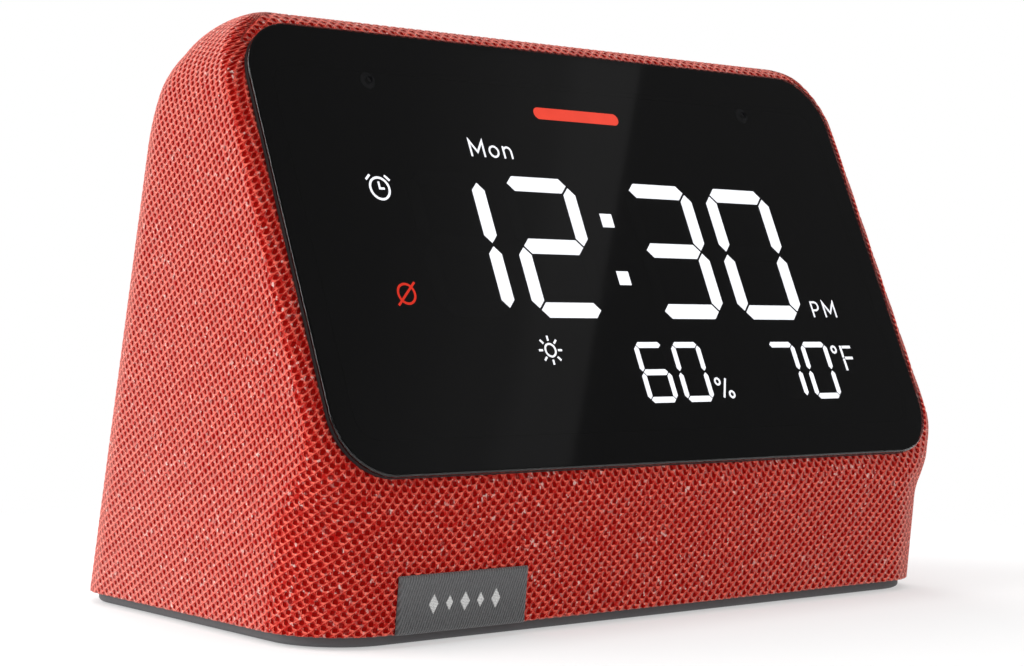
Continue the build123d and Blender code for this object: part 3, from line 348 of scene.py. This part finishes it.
def section_points(z, around):
    """Points of the horizontal section at height z, at shares around (0 to 1) of its perimeter."""
    front, back, half = front_y(z), back_y(z), half_width(z)
    blend = float(smoothstep(-corner_blend_high, -corner_blend_low, -z))
    share = (z - skirt_height) / (height - skirt_height)
    limit = (back - front) / 2 - corner_spare
    fore = front_corner_high + (front_corner_low - front_corner_high) * blend
    aft = rear_corner_low + (rear_corner_high - rear_corner_low) * share
    fore, aft = [min(max(radius, smallest_corner), limit) for radius in (fore, aft)]
    ends = np.cumsum([half - fore, fore * pi / 2, back - aft - front - fore, aft * pi / 2, half - aft])
    total = ends[-1]
    run = np.minimum(around, 1 - around) * 2 * total
    fore_turn = np.clip((run - ends[0]) / fore, 0, pi / 2)
    aft_turn = np.clip((run - ends[2]) / aft, 0, pi / 2)
    parts = [run < ends[0], run < ends[1], run < ends[2], run < ends[3]]
    x = np.select(parts, [run, half - fore + fore * np.sin(fore_turn), np.full_like(run, half),
                          half - aft + aft * np.cos(aft_turn)], half - aft - (run - ends[3]))
    y = np.select(parts, [np.full_like(run, front), front + fore - fore * np.cos(fore_turn),
                          front + fore + run - ends[1], back - aft + aft * np.sin(aft_turn)], back)
    x = np.where(around > 0.5, -x, x)
    behind = smoothstep(ends[2], ends[3], run)
    return x, y, run, total, behind


def row_heights(step):
    """Heights of the mesh rows, so that no surface is longer than step between two of them."""
    samples = 6000
    z = skirt_height + (top_level() - skirt_height) * np.sin(np.linspace(0, pi / 2, samples))
    outlines = [np.array([line(level) for level in z]) for line in (front_y, back_y, half_width)]
    lengths = [np.hypot(np.diff(outline), np.diff(z)) for outline in outlines]
    walked = np.concatenate([[0], np.cumsum(np.max(lengths, axis=0))])
    count = int(walked[-1] / step)
    front_run = np.concatenate([[0], np.cumsum(lengths[0])])
    back_run = np.concatenate([[0], np.cumsum(lengths[1])])
    marks = np.linspace(0, walked[-1], count)
    return [np.interp(marks, walked, values) for values in (z, front_run, back_run)]


def knit_counters(z, front_run, back_run, back_total, front_total, x, y, run, total, behind, around):
    """Wale and course counters of the cloth, for every point of one row."""
    shoulder_z = height - shoulder_radius
    rise = z - shoulder_z
    side_z = z if rise <= 0 else shoulder_z + shoulder_radius * asin(min(rise / shoulder_radius, 1))
    turned = smoothstep(*chin_turn, run)
    side_wale = cloth_half - side_stretch * (total - run)
    wale = run * (1 - turned) + side_wale * turned
    side_course = (depth / 2 - y) * sin(rear_angle) + (side_z - skirt_height) * cos(rear_angle)
    course = side_course * (1 - behind) + back_run * behind
    if z > top_strip_z:
        over = run < half_width(z) - top_strip_end
        wale = np.where(over, cloth_half - run, wale)
        course = np.where(over, back_total + front_total - front_run, course)
    wale = np.where(around > 0.5, 2 * cloth_half - wale, wale)
    if z < top_strip_z:
        lean = smoothstep(lean_start, 0, x) * (1 - turned)
        wale = wale + wale_lean * (z - wale_lean_from) * lean
        course = course - course_slope * x * (1 - turned)
    wander = np.sin(2 * pi * around * 7 + z / 11) + np.sin(2 * pi * around * 3 - z / 17)
    return wale, course + wander_depth * wander


def knit_depth(wale, course):
    """How far the cloth's surface lies under its highest strands, as a share of the relief."""
    down = np.cos(2 * pi * (wale / wale_pitch - course / course_pitch))
    up = np.cos(2 * pi * (wale / wale_pitch + course / course_pitch))
    hole = smoothstep(0.0, 0.8, (down + up) / 2)
    strand = np.maximum(smoothstep(0.2, 0.95, -down), 0.75 * smoothstep(0.2, 0.95, -up))
    ground = 0.42                       # depth of the cloth between strands and holes
    return np.clip(ground - ground * strand + (1 - ground) * hole, 0, 1)


# ---- openings in the cloth --------------------------------------------------------------------------
window_length = 64.2
window_base = 22.0
tunnel_width, tunnel_length, tunnel_corner = 113.6, 61.6, 7.6
button_length, button_width, button_pitch = 10.2, 7.0, 15.0
button_lean = radians(24)
panel_length, panel_width, panel_height = 42.4, 12.4, 14.0


class Opening:
    """A rounded outline on a plane, cut through the cloth."""

    def __init__(self, origin, normal, half_length, half_height, corner, shift=(0, 0)):
        self.origin = np.array(origin, float)
        self.normal = np.array(normal, float)
        self.right = np.array((1.0, 0, 0))
        self.up = np.cross(self.normal, self.right)
        self.half = (half_length, half_height)
        self.corner = corner
        self.shift = shift

    def local(self, points):
        """The points' own coordinates: across, up the plane, and out of it."""
        offset = points - self.origin
        return offset @ self.right - self.shift[0], offset @ self.up - self.shift[1], offset @ self.normal

    def distance(self, u, v):
        """Signed distance to the outline, negative inside."""
        du = np.abs(u) - self.half[0] + self.corner
        dv = np.abs(v) - self.half[1] + self.corner
        outside = np.hypot(np.maximum(du, 0), np.maximum(dv, 0))
        return outside + np.minimum(np.maximum(du, dv), 0) - self.corner

    def inside(self, points, reach=4.0):
        """True for points within the outline and no further than reach from its plane."""
        u, v, n = self.local(points)
        return (self.distance(u, v) < 0) & (np.abs(n) < reach)

    def snap(self, points):
        """Points moved in the plane onto the outline."""
        tiny = 0.01
        for _ in range(3):
            u, v, _n = self.local(points)
            gap = self.distance(u, v)
            du = (self.distance(u + tiny, v) - gap) / tiny
            dv = (self.distance(u, v + tiny) - gap) / tiny
            points = points - np.outer(gap * du, self.right) - np.outer(gap * dv, self.up)
        return points


face_origin = (0, nose_y + (window_base - nose_height) * tan(face_angle), window_base)
face_normal = (0, -cos(face_angle), sin(face_angle))
openings = [Opening(face_origin, face_normal, tunnel_width / 2, tunnel_length / 2, tunnel_corner,
                    (0, window_length / 2))]
button_normal = (0, sin(button_lean), cos(button_lean))
button_origin = (0, crown_centre[0] + crown_radius * sin(button_lean),
                 crown_centre[1] + crown_radius * cos(button_lean))
slot_spare = 0.01                       # keeps a slot's end radius under half its width
for index in range(4):
    openings.append(Opening(button_origin, button_normal, button_length / 2, button_width / 2,
                            button_width / 2 - slot_spare, ((index - 1.5) * button_pitch, 0)))
panel_normal = (0, cos(rear_angle), sin(rear_angle))
panel_origin = (0, depth / 2 - (panel_height - skirt_height) * tan(rear_angle), panel_height)
openings.append(Opening(panel_origin, panel_normal, panel_length / 2, panel_width / 2,
                        panel_width / 2 - slot_spare))


def mesh_object(name, points_mm, faces, body):
    """A smooth mesh of quads, lowered so that the ground is at zero, riding one body."""
    mesh = bpy.data.meshes.new(name)
    mesh.vertices.add(len(points_mm))
    lowered = np.asarray(points_mm) - (0, 0, ground_level)
    mesh.vertices.foreach_set("co", (lowered * MM).astype(np.float32).ravel())
    mesh.loops.add(faces.size)
    mesh.loops.foreach_set("vertex_index", faces.astype(np.int32).ravel())
    mesh.polygons.add(len(faces))
    mesh.polygons.foreach_set("loop_start", np.arange(0, faces.size, 4, dtype=np.int32))
    mesh.update(calc_edges=True)
    mesh.shade_smooth()
    piece = bpy.data.objects.new(name, mesh)
    scene.collection.objects.link(piece)
    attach(piece, body)
    return piece


def add_uv(piece, name, corners):
    """A UV layer from one pair of values per face corner."""
    layer = piece.data.uv_layers.new(name=name)
    layer.data.foreach_set("uv", np.asarray(corners, np.float32).ravel())


def build_cover():
    """The knitted cover: a fine mesh of the form with the knit's relief, cut out and hemmed."""
    step = 0.26
    half_girth = 175
    columns = 2 * int(half_girth / step)
    around = np.arange(columns + 1) / columns
    heights, front_runs, back_runs = row_heights(step)
    back_total, front_total = back_runs[-1], front_runs[-1]
    points, cloth = [], []
    for z, front_run, back_run in zip(heights, front_runs, back_runs):
        x, y, run, total, behind = section_points(z, around)
        points.append(np.stack([x, y, np.full_like(x, z)], -1))
        counters = knit_counters(z, front_run, back_run, back_total, front_total, x, y, run, total, behind,
                                 around)
        cloth.append(np.stack(counters, -1))
    # Two more rows close the narrow flat on top.
    closing = points[-1]
    middle_y = (closing[:, 1].min() + closing[:, 1].max()) / 2
    for share in (0.5, 1.0):
        row = closing.copy()
        row[:, 1] = middle_y + (row[:, 1] - middle_y) * (1 - share)
        points.append(row)
        cloth.append(cloth[-1] + [0, 0.3])
    points, cloth = np.array(points), np.array(cloth)
    rows = len(points)
    atlas = np.stack(np.meshgrid(around, np.linspace(0, 1, rows)), -1)

    grid = points[:, :-1]
    across = np.roll(grid, -1, 1) - np.roll(grid, 1, 1)
    upward = np.gradient(grid, axis=0)
    normal = np.cross(across, upward)
    normal /= np.maximum(np.linalg.norm(normal, axis=-1, keepdims=True), 1e-9)
    normal[-3:] = (0, 0, 1)
    relief = knit_relief * knit_depth(cloth[:, :-1, 0], cloth[:, :-1, 1])
    flat = grid.reshape(-1, 3)
    outward = normal.reshape(-1, 3)
    moved = (grid - normal * relief[..., None]).reshape(-1, 3)

    row_index, column_index = np.meshgrid(np.arange(rows - 1), np.arange(columns), indexing="ij")
    next_column = (column_index + 1) % columns
    row_above, column_after = row_index + 1, column_index + 1
    corner_rows = np.stack([row_index, row_index, row_above, row_above], -1).reshape(-1, 4)
    corner_columns = np.stack([column_index, column_after, column_after, column_index], -1).reshape(-1, 4)
    faces = np.stack([row_index * columns + column_index, row_index * columns + next_column,
                      row_above * columns + next_column, row_above * columns + column_index],
                     -1).reshape(-1, 4)
    centres = flat[faces].mean(1)
    cut = np.zeros(len(faces), bool)
    for opening in openings:
        gone = opening.inside(centres)
        cut |= gone
        kept_points = np.unique(faces[~gone])
        rim = np.intersect1d(np.unique(faces[gone]), kept_points)
        moved[rim] = opening.snap(moved[rim])
    faces = faces[~cut]
    cloth_corners = cloth[corner_rows[~cut], corner_columns[~cut]]
    atlas_corners = atlas[corner_rows[~cut], corner_columns[~cut]]

    # Every loose edge, except those that meet on top, gets a hem that turns inwards.
    edges = np.concatenate([faces[:, [k, (k + 1) % 4]] for k in range(4)])
    owner = np.tile(np.arange(len(faces)), 4)
    corner = np.repeat(np.arange(4), len(faces))
    key = np.sort(edges, 1)
    _, first, counts = np.unique(key[:, 0].astype(np.int64) * len(moved) + key[:, 1], return_index=True,
                                 return_counts=True)
    loose = first[counts == 1]
    hem_limit = height - 1.0
    loose = loose[moved[edges[loose, 0], 2] < hem_limit]
    rim = np.unique(edges[loose])
    renumber = np.full(len(moved), -1)
    renumber[rim] = len(moved) + np.arange(len(rim))
    tucked = moved[rim] - outward[rim] * (fabric_thickness - 0.1)
    start_point, end_point = edges[loose].T
    hem = np.stack([end_point, start_point, renumber[start_point], renumber[end_point]], -1)

    def hem_corners(values):
        """Corner values of the hem, copied from the loose edges that it hangs on."""
        start = values[owner[loose], corner[loose]]
        end = values[owner[loose], (corner[loose] + 1) % 4]
        return np.stack([end, start, start, end], 1)

    all_faces = np.concatenate([faces, hem])
    all_cloth = np.concatenate([cloth_corners, hem_corners(cloth_corners)])
    all_atlas = np.concatenate([atlas_corners, hem_corners(atlas_corners)])
    all_points = np.concatenate([moved, tucked])
    used = np.unique(all_faces)
    compact = np.full(len(all_points), -1)
    compact[used] = np.arange(len(used))
    cover = mesh_object("knit_cover", all_points[used], compact[all_faces], "casing")
    add_uv(cover, "OFBake", all_atlas)
    add_uv(cover, "cloth", all_cloth)
    cover.data.materials.append(knit_material())
    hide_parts("fabric_cover")


# Colours of the melange yarn, with the painted highlight of its raised strands, the painted shade of its
# holes and its painted sheen.
yarn_dark, yarn_light = (0.35, 0.003, 0.002, 1), (0.46, 0.006, 0.004, 1)
fibre_tone = (0.60, 0.040, 0.026, 1)
strand_highlight_tone = (0.95, 0.155, 0.108, 1)
pale_fleck, grey_fleck = (0.86, 0.60, 0.54, 1), (0.30, 0.20, 0.19, 1)
hole_shade_tone = (0.23, 0.003, 0.002, 1)
painted_sheen_tone = (0.95, 0.52, 0.45, 1)


def knit_material():
    """Melange red knit: holes with painted shade, raised strands paler with a painted highlight, painted
    sheen where seen edge-on, pale and grey fibres in short streaks.
    """
    graph = Graph("knit_look")
    cloth = graph.add("ShaderNodeSeparateXYZ", {0: graph.add("ShaderNodeUVMap", uv_map="cloth").outputs[0]})
    wobble = graph.math("MULTIPLY", graph.math("SUBTRACT", graph.noise(1.4, 2.0), 0.5), yarn_wobble)
    wales = graph.math("DIVIDE", cloth.outputs["X"], wale_pitch)
    courses = graph.math("ADD", graph.math("DIVIDE", cloth.outputs["Y"], course_pitch), wobble)

    def waves(wale_shift, course_shift):
        """The lattice's two diagonal waves, both 1 at the middle of a hole."""
        wale = graph.math("ADD", wales, wale_shift)
        course = graph.math("ADD", courses, course_shift)
        return [graph.math("COSINE", graph.math("MULTIPLY", graph.math(join, wale, course), 2 * pi))
                for join in ("SUBTRACT", "ADD")]

    def hole_field(pair):
        """1 in the middle of a hole, -1 where two strands cross."""
        return graph.math("MULTIPLY", graph.math("ADD", *pair), 0.5)

    down, up = waves(0.0, 0.0)
    field = hole_field((down, up))
    hole = graph.smooth(field, 0.08, 0.42)
    # A loop of yarn lies round the lower side of each hole and catches the light; this highlight is painted
    # into its colour below, together with the strands'.
    loop = graph.smooth(hole_field(waves(0.05, 0.17)), -0.05, 0.18)
    loop = graph.math("MULTIPLY", loop, graph.smooth(field, 0.26, 0.06))
    strand_down = graph.math("MULTIPLY", graph.smooth(down, -0.80, -1.0), 0.95)
    strand_up = graph.math("MULTIPLY", graph.smooth(up, -0.80, -0.99), 0.5)
    strand = graph.math("MAXIMUM", strand_down, strand_up)
    broken = graph.smooth(graph.noise(1.3, 3.0), 0.30, 0.62)
    raised = graph.math("MULTIPLY", graph.math("MAXIMUM", strand, loop), broken)
    fibre = graph.noise(5.0, 3.0, (1, 1, 0.45))
    tone = graph.mix(graph.noise(0.5, 3.0), yarn_dark, yarn_light)
    tone = graph.mix(graph.math("MULTIPLY", graph.smooth(fibre, 0.5, 0.75), 0.4), tone, fibre_tone)
    # Painted highlight: the raised strands and loops are painted paler, as where they catch the light.
    tone = graph.mix(graph.math("MULTIPLY", raised, 0.95), tone, strand_highlight_tone)
    patch = graph.smooth(graph.noise(0.12, 2.0), 0.35, 0.65)
    pale = graph.smooth(graph.noise(1.5, 2.0, (1, 1, 0.8)), 0.61, 0.70)
    pale = graph.math("MULTIPLY", pale, graph.math("ADD", 0.35, graph.math("MULTIPLY", patch, 0.45)))
    tone = graph.mix(pale, tone, pale_fleck)
    grey = graph.smooth(graph.noise(1.1, 3.0, (0.8, 1, 1)), 0.62, 0.73)
    tone = graph.mix(graph.math("MULTIPLY", grey, 0.5), tone, grey_fleck)
    # Painted shade: the holes are painted dark, the cloth's darker depth together with the shade that falls
    # into them.
    tone = graph.mix(graph.math("MULTIPLY", hole, 0.92), tone, hole_shade_tone)
    # Painted sheen: the colour turns pinker where the cloth is seen edge-on, as the fibres' sheen does
    # where the cloth turns away.
    facing = graph.add("ShaderNodeLayerWeight", {"Blend": 0.5}).outputs["Facing"]
    painted_sheen = graph.math("MULTIPLY", graph.smooth(facing, 0.38, 0.52), 0.26)
    tone = graph.mix(painted_sheen, tone, painted_sheen_tone)
    level = graph.math("SUBTRACT", graph.math("MULTIPLY", raised, 0.7), hole)
    level = graph.math("ADD", level, graph.math("MULTIPLY", fibre, 0.35))
    graph.bump(level, 0.20)
    closed = graph.math("SUBTRACT", 1.0, hole)
    halo = graph.math("SUBTRACT", 0.14, graph.math("MULTIPLY", hole, 0.10))
    graph.feed(graph.surface.inputs["Sheen Weight"], halo)
    graph.feed(graph.surface.inputs["Sheen Roughness"], 0.24)
    graph.feed(graph.surface.inputs["Sheen Tint"], (1.0, 0.70, 0.60, 1))
    graph.feed(graph.surface.inputs["Specular IOR Level"], graph.math("MULTIPLY", closed, 0.12))
    graph.feed(graph.surface.inputs["Specular Tint"], (1.0, 0.78, 0.68, 1))
    rough = graph.math("SUBTRACT", 0.75, graph.math("MULTIPLY", raised, 0.2))
    return graph.finish(tone, rough)


build_cover()

# ---- sewn tag --------------------------------------------------------------------------------------
tag_left, tag_right, tag_top, tag_bottom = -48.2, -26.7, -10.2, -17.8
tag_low, tag_high = 0.03, 0.66
tag_roll = 0.45                         # radius of the folded edges
twill_pitch, twill_slant, weft_pitch = 0.42, 0.35, 0.30
mark_count, mark_pitch = 5, 2.6
large_mark, small_mark, mark_width = 1.25, 0.95, 0.62
stitch_pitch = 0.2


def build_tag():
    """Woven tape folded over at its ends, with a plain row of embroidered lozenges."""
    step = 0.07
    u = np.linspace(0, 1, int((tag_right - tag_left) / step))
    v = np.linspace(0, 1, int((tag_top - tag_bottom) / step))
    u, v = np.meshgrid(u, v)
    x = tag_left + (tag_right - tag_left) * u
    down = tag_bottom + (tag_top - tag_bottom) * v
    from_side = np.minimum(x - tag_left, tag_right - x)
    from_end = np.minimum(down - tag_bottom, tag_top - down)
    rise_side = np.sqrt(1 - (1 - np.clip(from_side / tag_roll, 0, 1)) ** 2)
    rise_end = np.sqrt(1 - (1 - np.clip(from_end / (tag_roll * 1.4), 0, 1)) ** 2)
    weave = 0.5 + 0.5 * np.sin(2 * pi * (x - twill_slant * down) / twill_pitch)
    weft = 0.5 + 0.5 * np.sin(2 * pi * down / weft_pitch)
    lift = tag_low + (tag_high - tag_low - 0.12) * np.minimum(rise_side, rise_end)
    lift += 0.05 * weave + 0.02 * weft
    centre_x, centre_v = (tag_left + tag_right) / 2, (tag_top + tag_bottom) / 2
    mark = np.zeros_like(x)
    for index in range(mark_count):
        offset = (index - (mark_count - 1) / 2) * mark_pitch
        size = small_mark if index % 2 else large_mark
        reach = np.abs(x - centre_x - offset) / (size * mark_width) + np.abs(down - centre_v) / size
        mark = np.maximum(mark, smoothstep(-1.08, -0.92, -reach))
    lift += 0.05 * mark * np.minimum(rise_side, rise_end)
    normal = np.array((0, -cos(chin_angle), -sin(chin_angle)))
    upward = np.array((0, -sin(chin_angle), cos(chin_angle)))
    origin = np.array((0, nose_y, nose_height))
    points = origin + x[..., None] * (1, 0, 0) + down[..., None] * upward + lift[..., None] * normal
    rows, columns = x.shape
    index = np.arange(rows * columns).reshape(rows, columns)
    faces = np.stack([index[:-1, :-1], index[:-1, 1:], index[1:, 1:], index[1:, :-1]], -1).reshape(-1, 4)
    tag = mesh_object("woven_tag", points.reshape(-1, 3), faces, "casing")
    place = np.stack([x, down], -1).reshape(-1, 2)
    add_uv(tag, "tape", place[faces])
    attribute = tag.data.attributes.new("mark", "FLOAT", "POINT")
    attribute.data.foreach_set("value", mark.astype(np.float32).ravel())
    tag.data.materials.append(tag_material())
    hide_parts("label_tag")


def tag_material():
    """Grey twill tape with pale embroidery thread."""
    graph = Graph("tag_look")
    tape = graph.add("ShaderNodeSeparateXYZ", {0: graph.add("ShaderNodeUVMap", uv_map="tape").outputs[0]})
    slant = graph.math("MULTIPLY", tape.outputs["Y"], twill_slant)
    slant = graph.math("SUBTRACT", tape.outputs["X"], slant)
    twill = graph.math("SINE", graph.math("MULTIPLY", slant, 2 * pi / twill_pitch))
    rib = graph.smooth(twill, -0.6, 0.7)
    thread = graph.noise(7.0, 3.0, (0.6, 1, 0.4))
    tone = graph.mix(rib, (0.045, 0.046, 0.048, 1), (0.098, 0.100, 0.103, 1))
    loose_thread = graph.math("MULTIPLY", graph.smooth(thread, 0.4, 0.7), 0.4)
    tone = graph.mix(loose_thread, tone, (0.15, 0.152, 0.155, 1))
    # Painted shade: the tape is painted darker towards its lower end, where it folds under.
    high = graph.smooth(tape.outputs["Y"], tag_bottom, tag_top)
    tone = graph.mix(graph.math("MULTIPLY", high, 0.25), tone, (0.16, 0.16, 0.165, 1))
    mark = graph.add("ShaderNodeAttribute", attribute_name="mark").outputs["Fac"]
    stitch = graph.math("SINE", graph.math("MULTIPLY", tape.outputs["Y"], 2 * pi / stitch_pitch))
    satin = graph.mix(graph.smooth(stitch, -0.7, 0.7), (0.60, 0.60, 0.60, 1), (0.90, 0.90, 0.89, 1))
    tone = graph.mix(mark, tone, satin)
    relief = graph.math("ADD", rib, graph.math("MULTIPLY", stitch, mark))
    graph.bump(graph.math("ADD", relief, thread), 0.04)
    graph.feed(graph.surface.inputs["Sheen Weight"], 0.2)
    return graph.finish(tone, 0.8)


build_tag()

# ---- floor, light and camera -----------------------------------------------------------------------
scene.view_settings.view_transform = "Standard"


# The floor is pale near the object and turns to plain white away from it, so that it has no edge.
fade_start, fade_end, least_white = 60.0, 160.0, 0.45


def floor():
    """A large pale sheet under the object."""
    graph = Graph("floor_look")
    tone = graph.mix(graph.noise(0.01, 2.0), (0.93, 0.93, 0.93, 1), (0.95, 0.95, 0.95, 1))
    graph.finish(tone, 0.9)
    graph.feed(graph.surface.inputs["Specular IOR Level"], 0.1)
    length = graph.add("ShaderNodeVectorMath", {0: graph.position()}, operation="LENGTH")
    from_object = length.outputs["Value"]
    fade = graph.math("MAXIMUM", graph.smooth(from_object, fade_start, fade_end), least_white)
    white = graph.add("ShaderNodeEmission", {"Color": (1, 1, 1, 1), "Strength": 1.0})
    blend = graph.add("ShaderNodeMixShader", {0: fade, 1: graph.surface.outputs[0], 2: white.outputs[0]})
    graph.feed(graph.output.inputs["Surface"], blend.outputs[0])
    size, level = 4.0, -0.0002
    mesh = bpy.data.meshes.new("floor")
    corners = [(-size, -size, level), (size, -size, level), (size, size, level), (-size, size, level)]
    mesh.from_pydata(corners, [], [(0, 1, 2, 3)])
    piece = bpy.data.objects.new("floor", mesh)
    piece.data.materials.append(graph.material)
    scene.collection.objects.link(piece)


def area_light(name, place, target, size, power, glossy):
    """A soft rectangular light at place, turned to target."""
    data = bpy.data.lights.new(name, "AREA")
    data.shape = "RECTANGLE"
    data.size, data.size_y = size
    data.energy = power
    lamp = bpy.data.objects.new(name, data)
    lamp.location = place
    lamp.rotation_euler = (Vector(target) - Vector(place)).to_track_quat("-Z", "Y").to_euler()
    lamp.visible_glossy = glossy
    lamp.visible_camera = False
    scene.collection.objects.link(lamp)


room_diffuse, room_glossy = 0.42, 0.11


def studio_world():
    """White for the camera, soft for diffuse light, and a dim room in reflections."""
    world = bpy.data.worlds.new("studio")
    world.use_nodes = True
    tree = world.node_tree
    background = tree.nodes["Background"]
    path = tree.nodes.new("ShaderNodeLightPath")
    glossy = tree.nodes.new("ShaderNodeMix")
    glossy.data_type = "FLOAT"
    camera = tree.nodes.new("ShaderNodeMix")
    camera.data_type = "FLOAT"
    tree.links.new(path.outputs["Is Glossy Ray"], glossy.inputs[0])
    glossy.inputs[2].default_value = room_diffuse
    glossy.inputs[3].default_value = room_glossy
    tree.links.new(path.outputs["Is Camera Ray"], camera.inputs[0])
    tree.links.new(glossy.outputs[0], camera.inputs[2])
    camera.inputs[3].default_value = 1.0
    tree.links.new(camera.outputs[0], background.inputs["Strength"])
    background.inputs["Color"].default_value = (1, 1, 1, 1)
    scene.world = world


floor()
studio_world()
focus = (0, 0, 0.04)
lamps = [
    ("key_left", (-0.72, 0.42, 0.42), (1.0, 0.9), 10.8, True),
    ("fill_front", (0.10, -1.1, 0.55), (0.9, 0.5), 3.2, False),
    ("top_soft", (0, 0.1, 1.1), (1.2, 1.2), 6.5, False),
    ("rim_back", (0.3, 1.0, 0.6), (0.8, 0.6), 4.5, False),
]
for lamp_name, lamp_place, lamp_size, lamp_power, in_reflections in lamps:
    area_light(lamp_name, lamp_place, focus, lamp_size, lamp_power, in_reflections)


def mirrored(x, along, camera_at, reach):
    """The point at distance reach that the camera sees mirrored at a place on the window, in metres."""
    normal = Vector(face_normal)
    on_window = Vector((x, along * sin(face_angle), along * cos(face_angle)))
    place = (Vector(face_origin) + on_window - Vector((0, 0, ground_level))) * MM
    ray = (place - Vector(camera_at)).normalized()
    return place + (ray - 2 * ray.dot(normal) * normal) * reach


def reflected_card(camera_at):
    """A faint card whose image covers the window's left part, bounded by a slanted straight edge."""
    reach = 0.9
    edge_top, edge_bottom = (18.2, window_length), (-19.6, 0.0)
    span = 75.0
    corners = [mirrored(edge_top[0] - span, edge_top[1], camera_at, reach),
               mirrored(edge_bottom[0] - span, edge_bottom[1], camera_at, reach),
               mirrored(*edge_bottom, camera_at, reach), mirrored(*edge_top, camera_at, reach)]
    mesh = bpy.data.meshes.new("reflected_card")
    mesh.from_pydata(corners, [], [(0, 1, 2, 3)])
    layer = mesh.uv_layers.new(name="card")
    for loop, corner in zip(layer.data, ((0, 1), (0, 0), (1, 0), (1, 1))):
        loop.uv = corner
    graph = Graph("card_look")
    across = graph.add("ShaderNodeSeparateXYZ", {0: graph.add("ShaderNodeUVMap", uv_map="card").outputs[0]})
    ramp = graph.add("ShaderNodeValToRGB", {"Fac": across.outputs["X"]})
    # Brightness across the card, from its far side to the edge seen in the window.
    stops = ((0.0, 0.0), (0.45, 0.02), (0.62, 0.05), (0.72, 0.075), (0.80, 0.08), (0.86, 0.13), (1.0, 0.13))
    ramp.color_ramp.elements.remove(ramp.color_ramp.elements[1])
    for position, level in stops:
        element = ramp.color_ramp.elements.new(position) if position else ramp.color_ramp.elements[0]
        element.color = (level, level, level, 1)
    glow = graph.add("ShaderNodeEmission", {"Color": ramp.outputs["Color"], "Strength": 1.0})
    clear = graph.add("ShaderNodeBsdfTransparent")
    both = graph.add("ShaderNodeAddShader", {0: glow.outputs[0], 1: clear.outputs[0]})
    graph.feed(graph.output.inputs["Surface"], both.outputs[0])
    mesh.materials.append(graph.material)
    card = bpy.data.objects.new("reflected_card", mesh)
    for setting in ("visible_camera", "visible_diffuse", "visible_shadow", "visible_transmission"):
        setattr(card, setting, False)
    scene.collection.objects.link(card)


# The view is cut from a wider one: the camera looks past the object and its lens shift brings the object
# back to the middle. The shift belongs to this one station and is off wherever else the camera stands.
camera_place = (-0.19574, -0.21235, 0.03856)
camera_turn = radians(-32.52)
sensor_width = 36.0
lens = 65.43
shift_right, shift_up = 0.3202, 0.0059
reflected_card(camera_place)

camera_data = bpy.data.cameras.new("camera")
camera_data.lens = lens
camera_data.sensor_width = sensor_width
camera_data.clip_start = 0.01
camera = bpy.data.objects.new("camera", camera_data)
camera.location = camera_place
camera.rotation_euler = Euler((radians(90), 0, camera_turn))
scene.collection.objects.link(camera)
scene.camera = camera


def shift_at_station(setting, amount):
    """Drives a lens shift that is on only while the camera stands at its station."""
    driver = camera_data.driver_add(setting).driver
    variable = driver.variables.new()
    variable.name = "x"
    variable.type = "TRANSFORMS"
    variable.targets[0].id = camera
    variable.targets[0].transform_type = "LOC_X"
    driver.expression = f"{amount} * (abs(x - ({camera_place[0]})) < 0.001)"


shift_at_station("shift_x", shift_right)
shift_at_station("shift_y", shift_up)

bpy.context.view_layer.update()
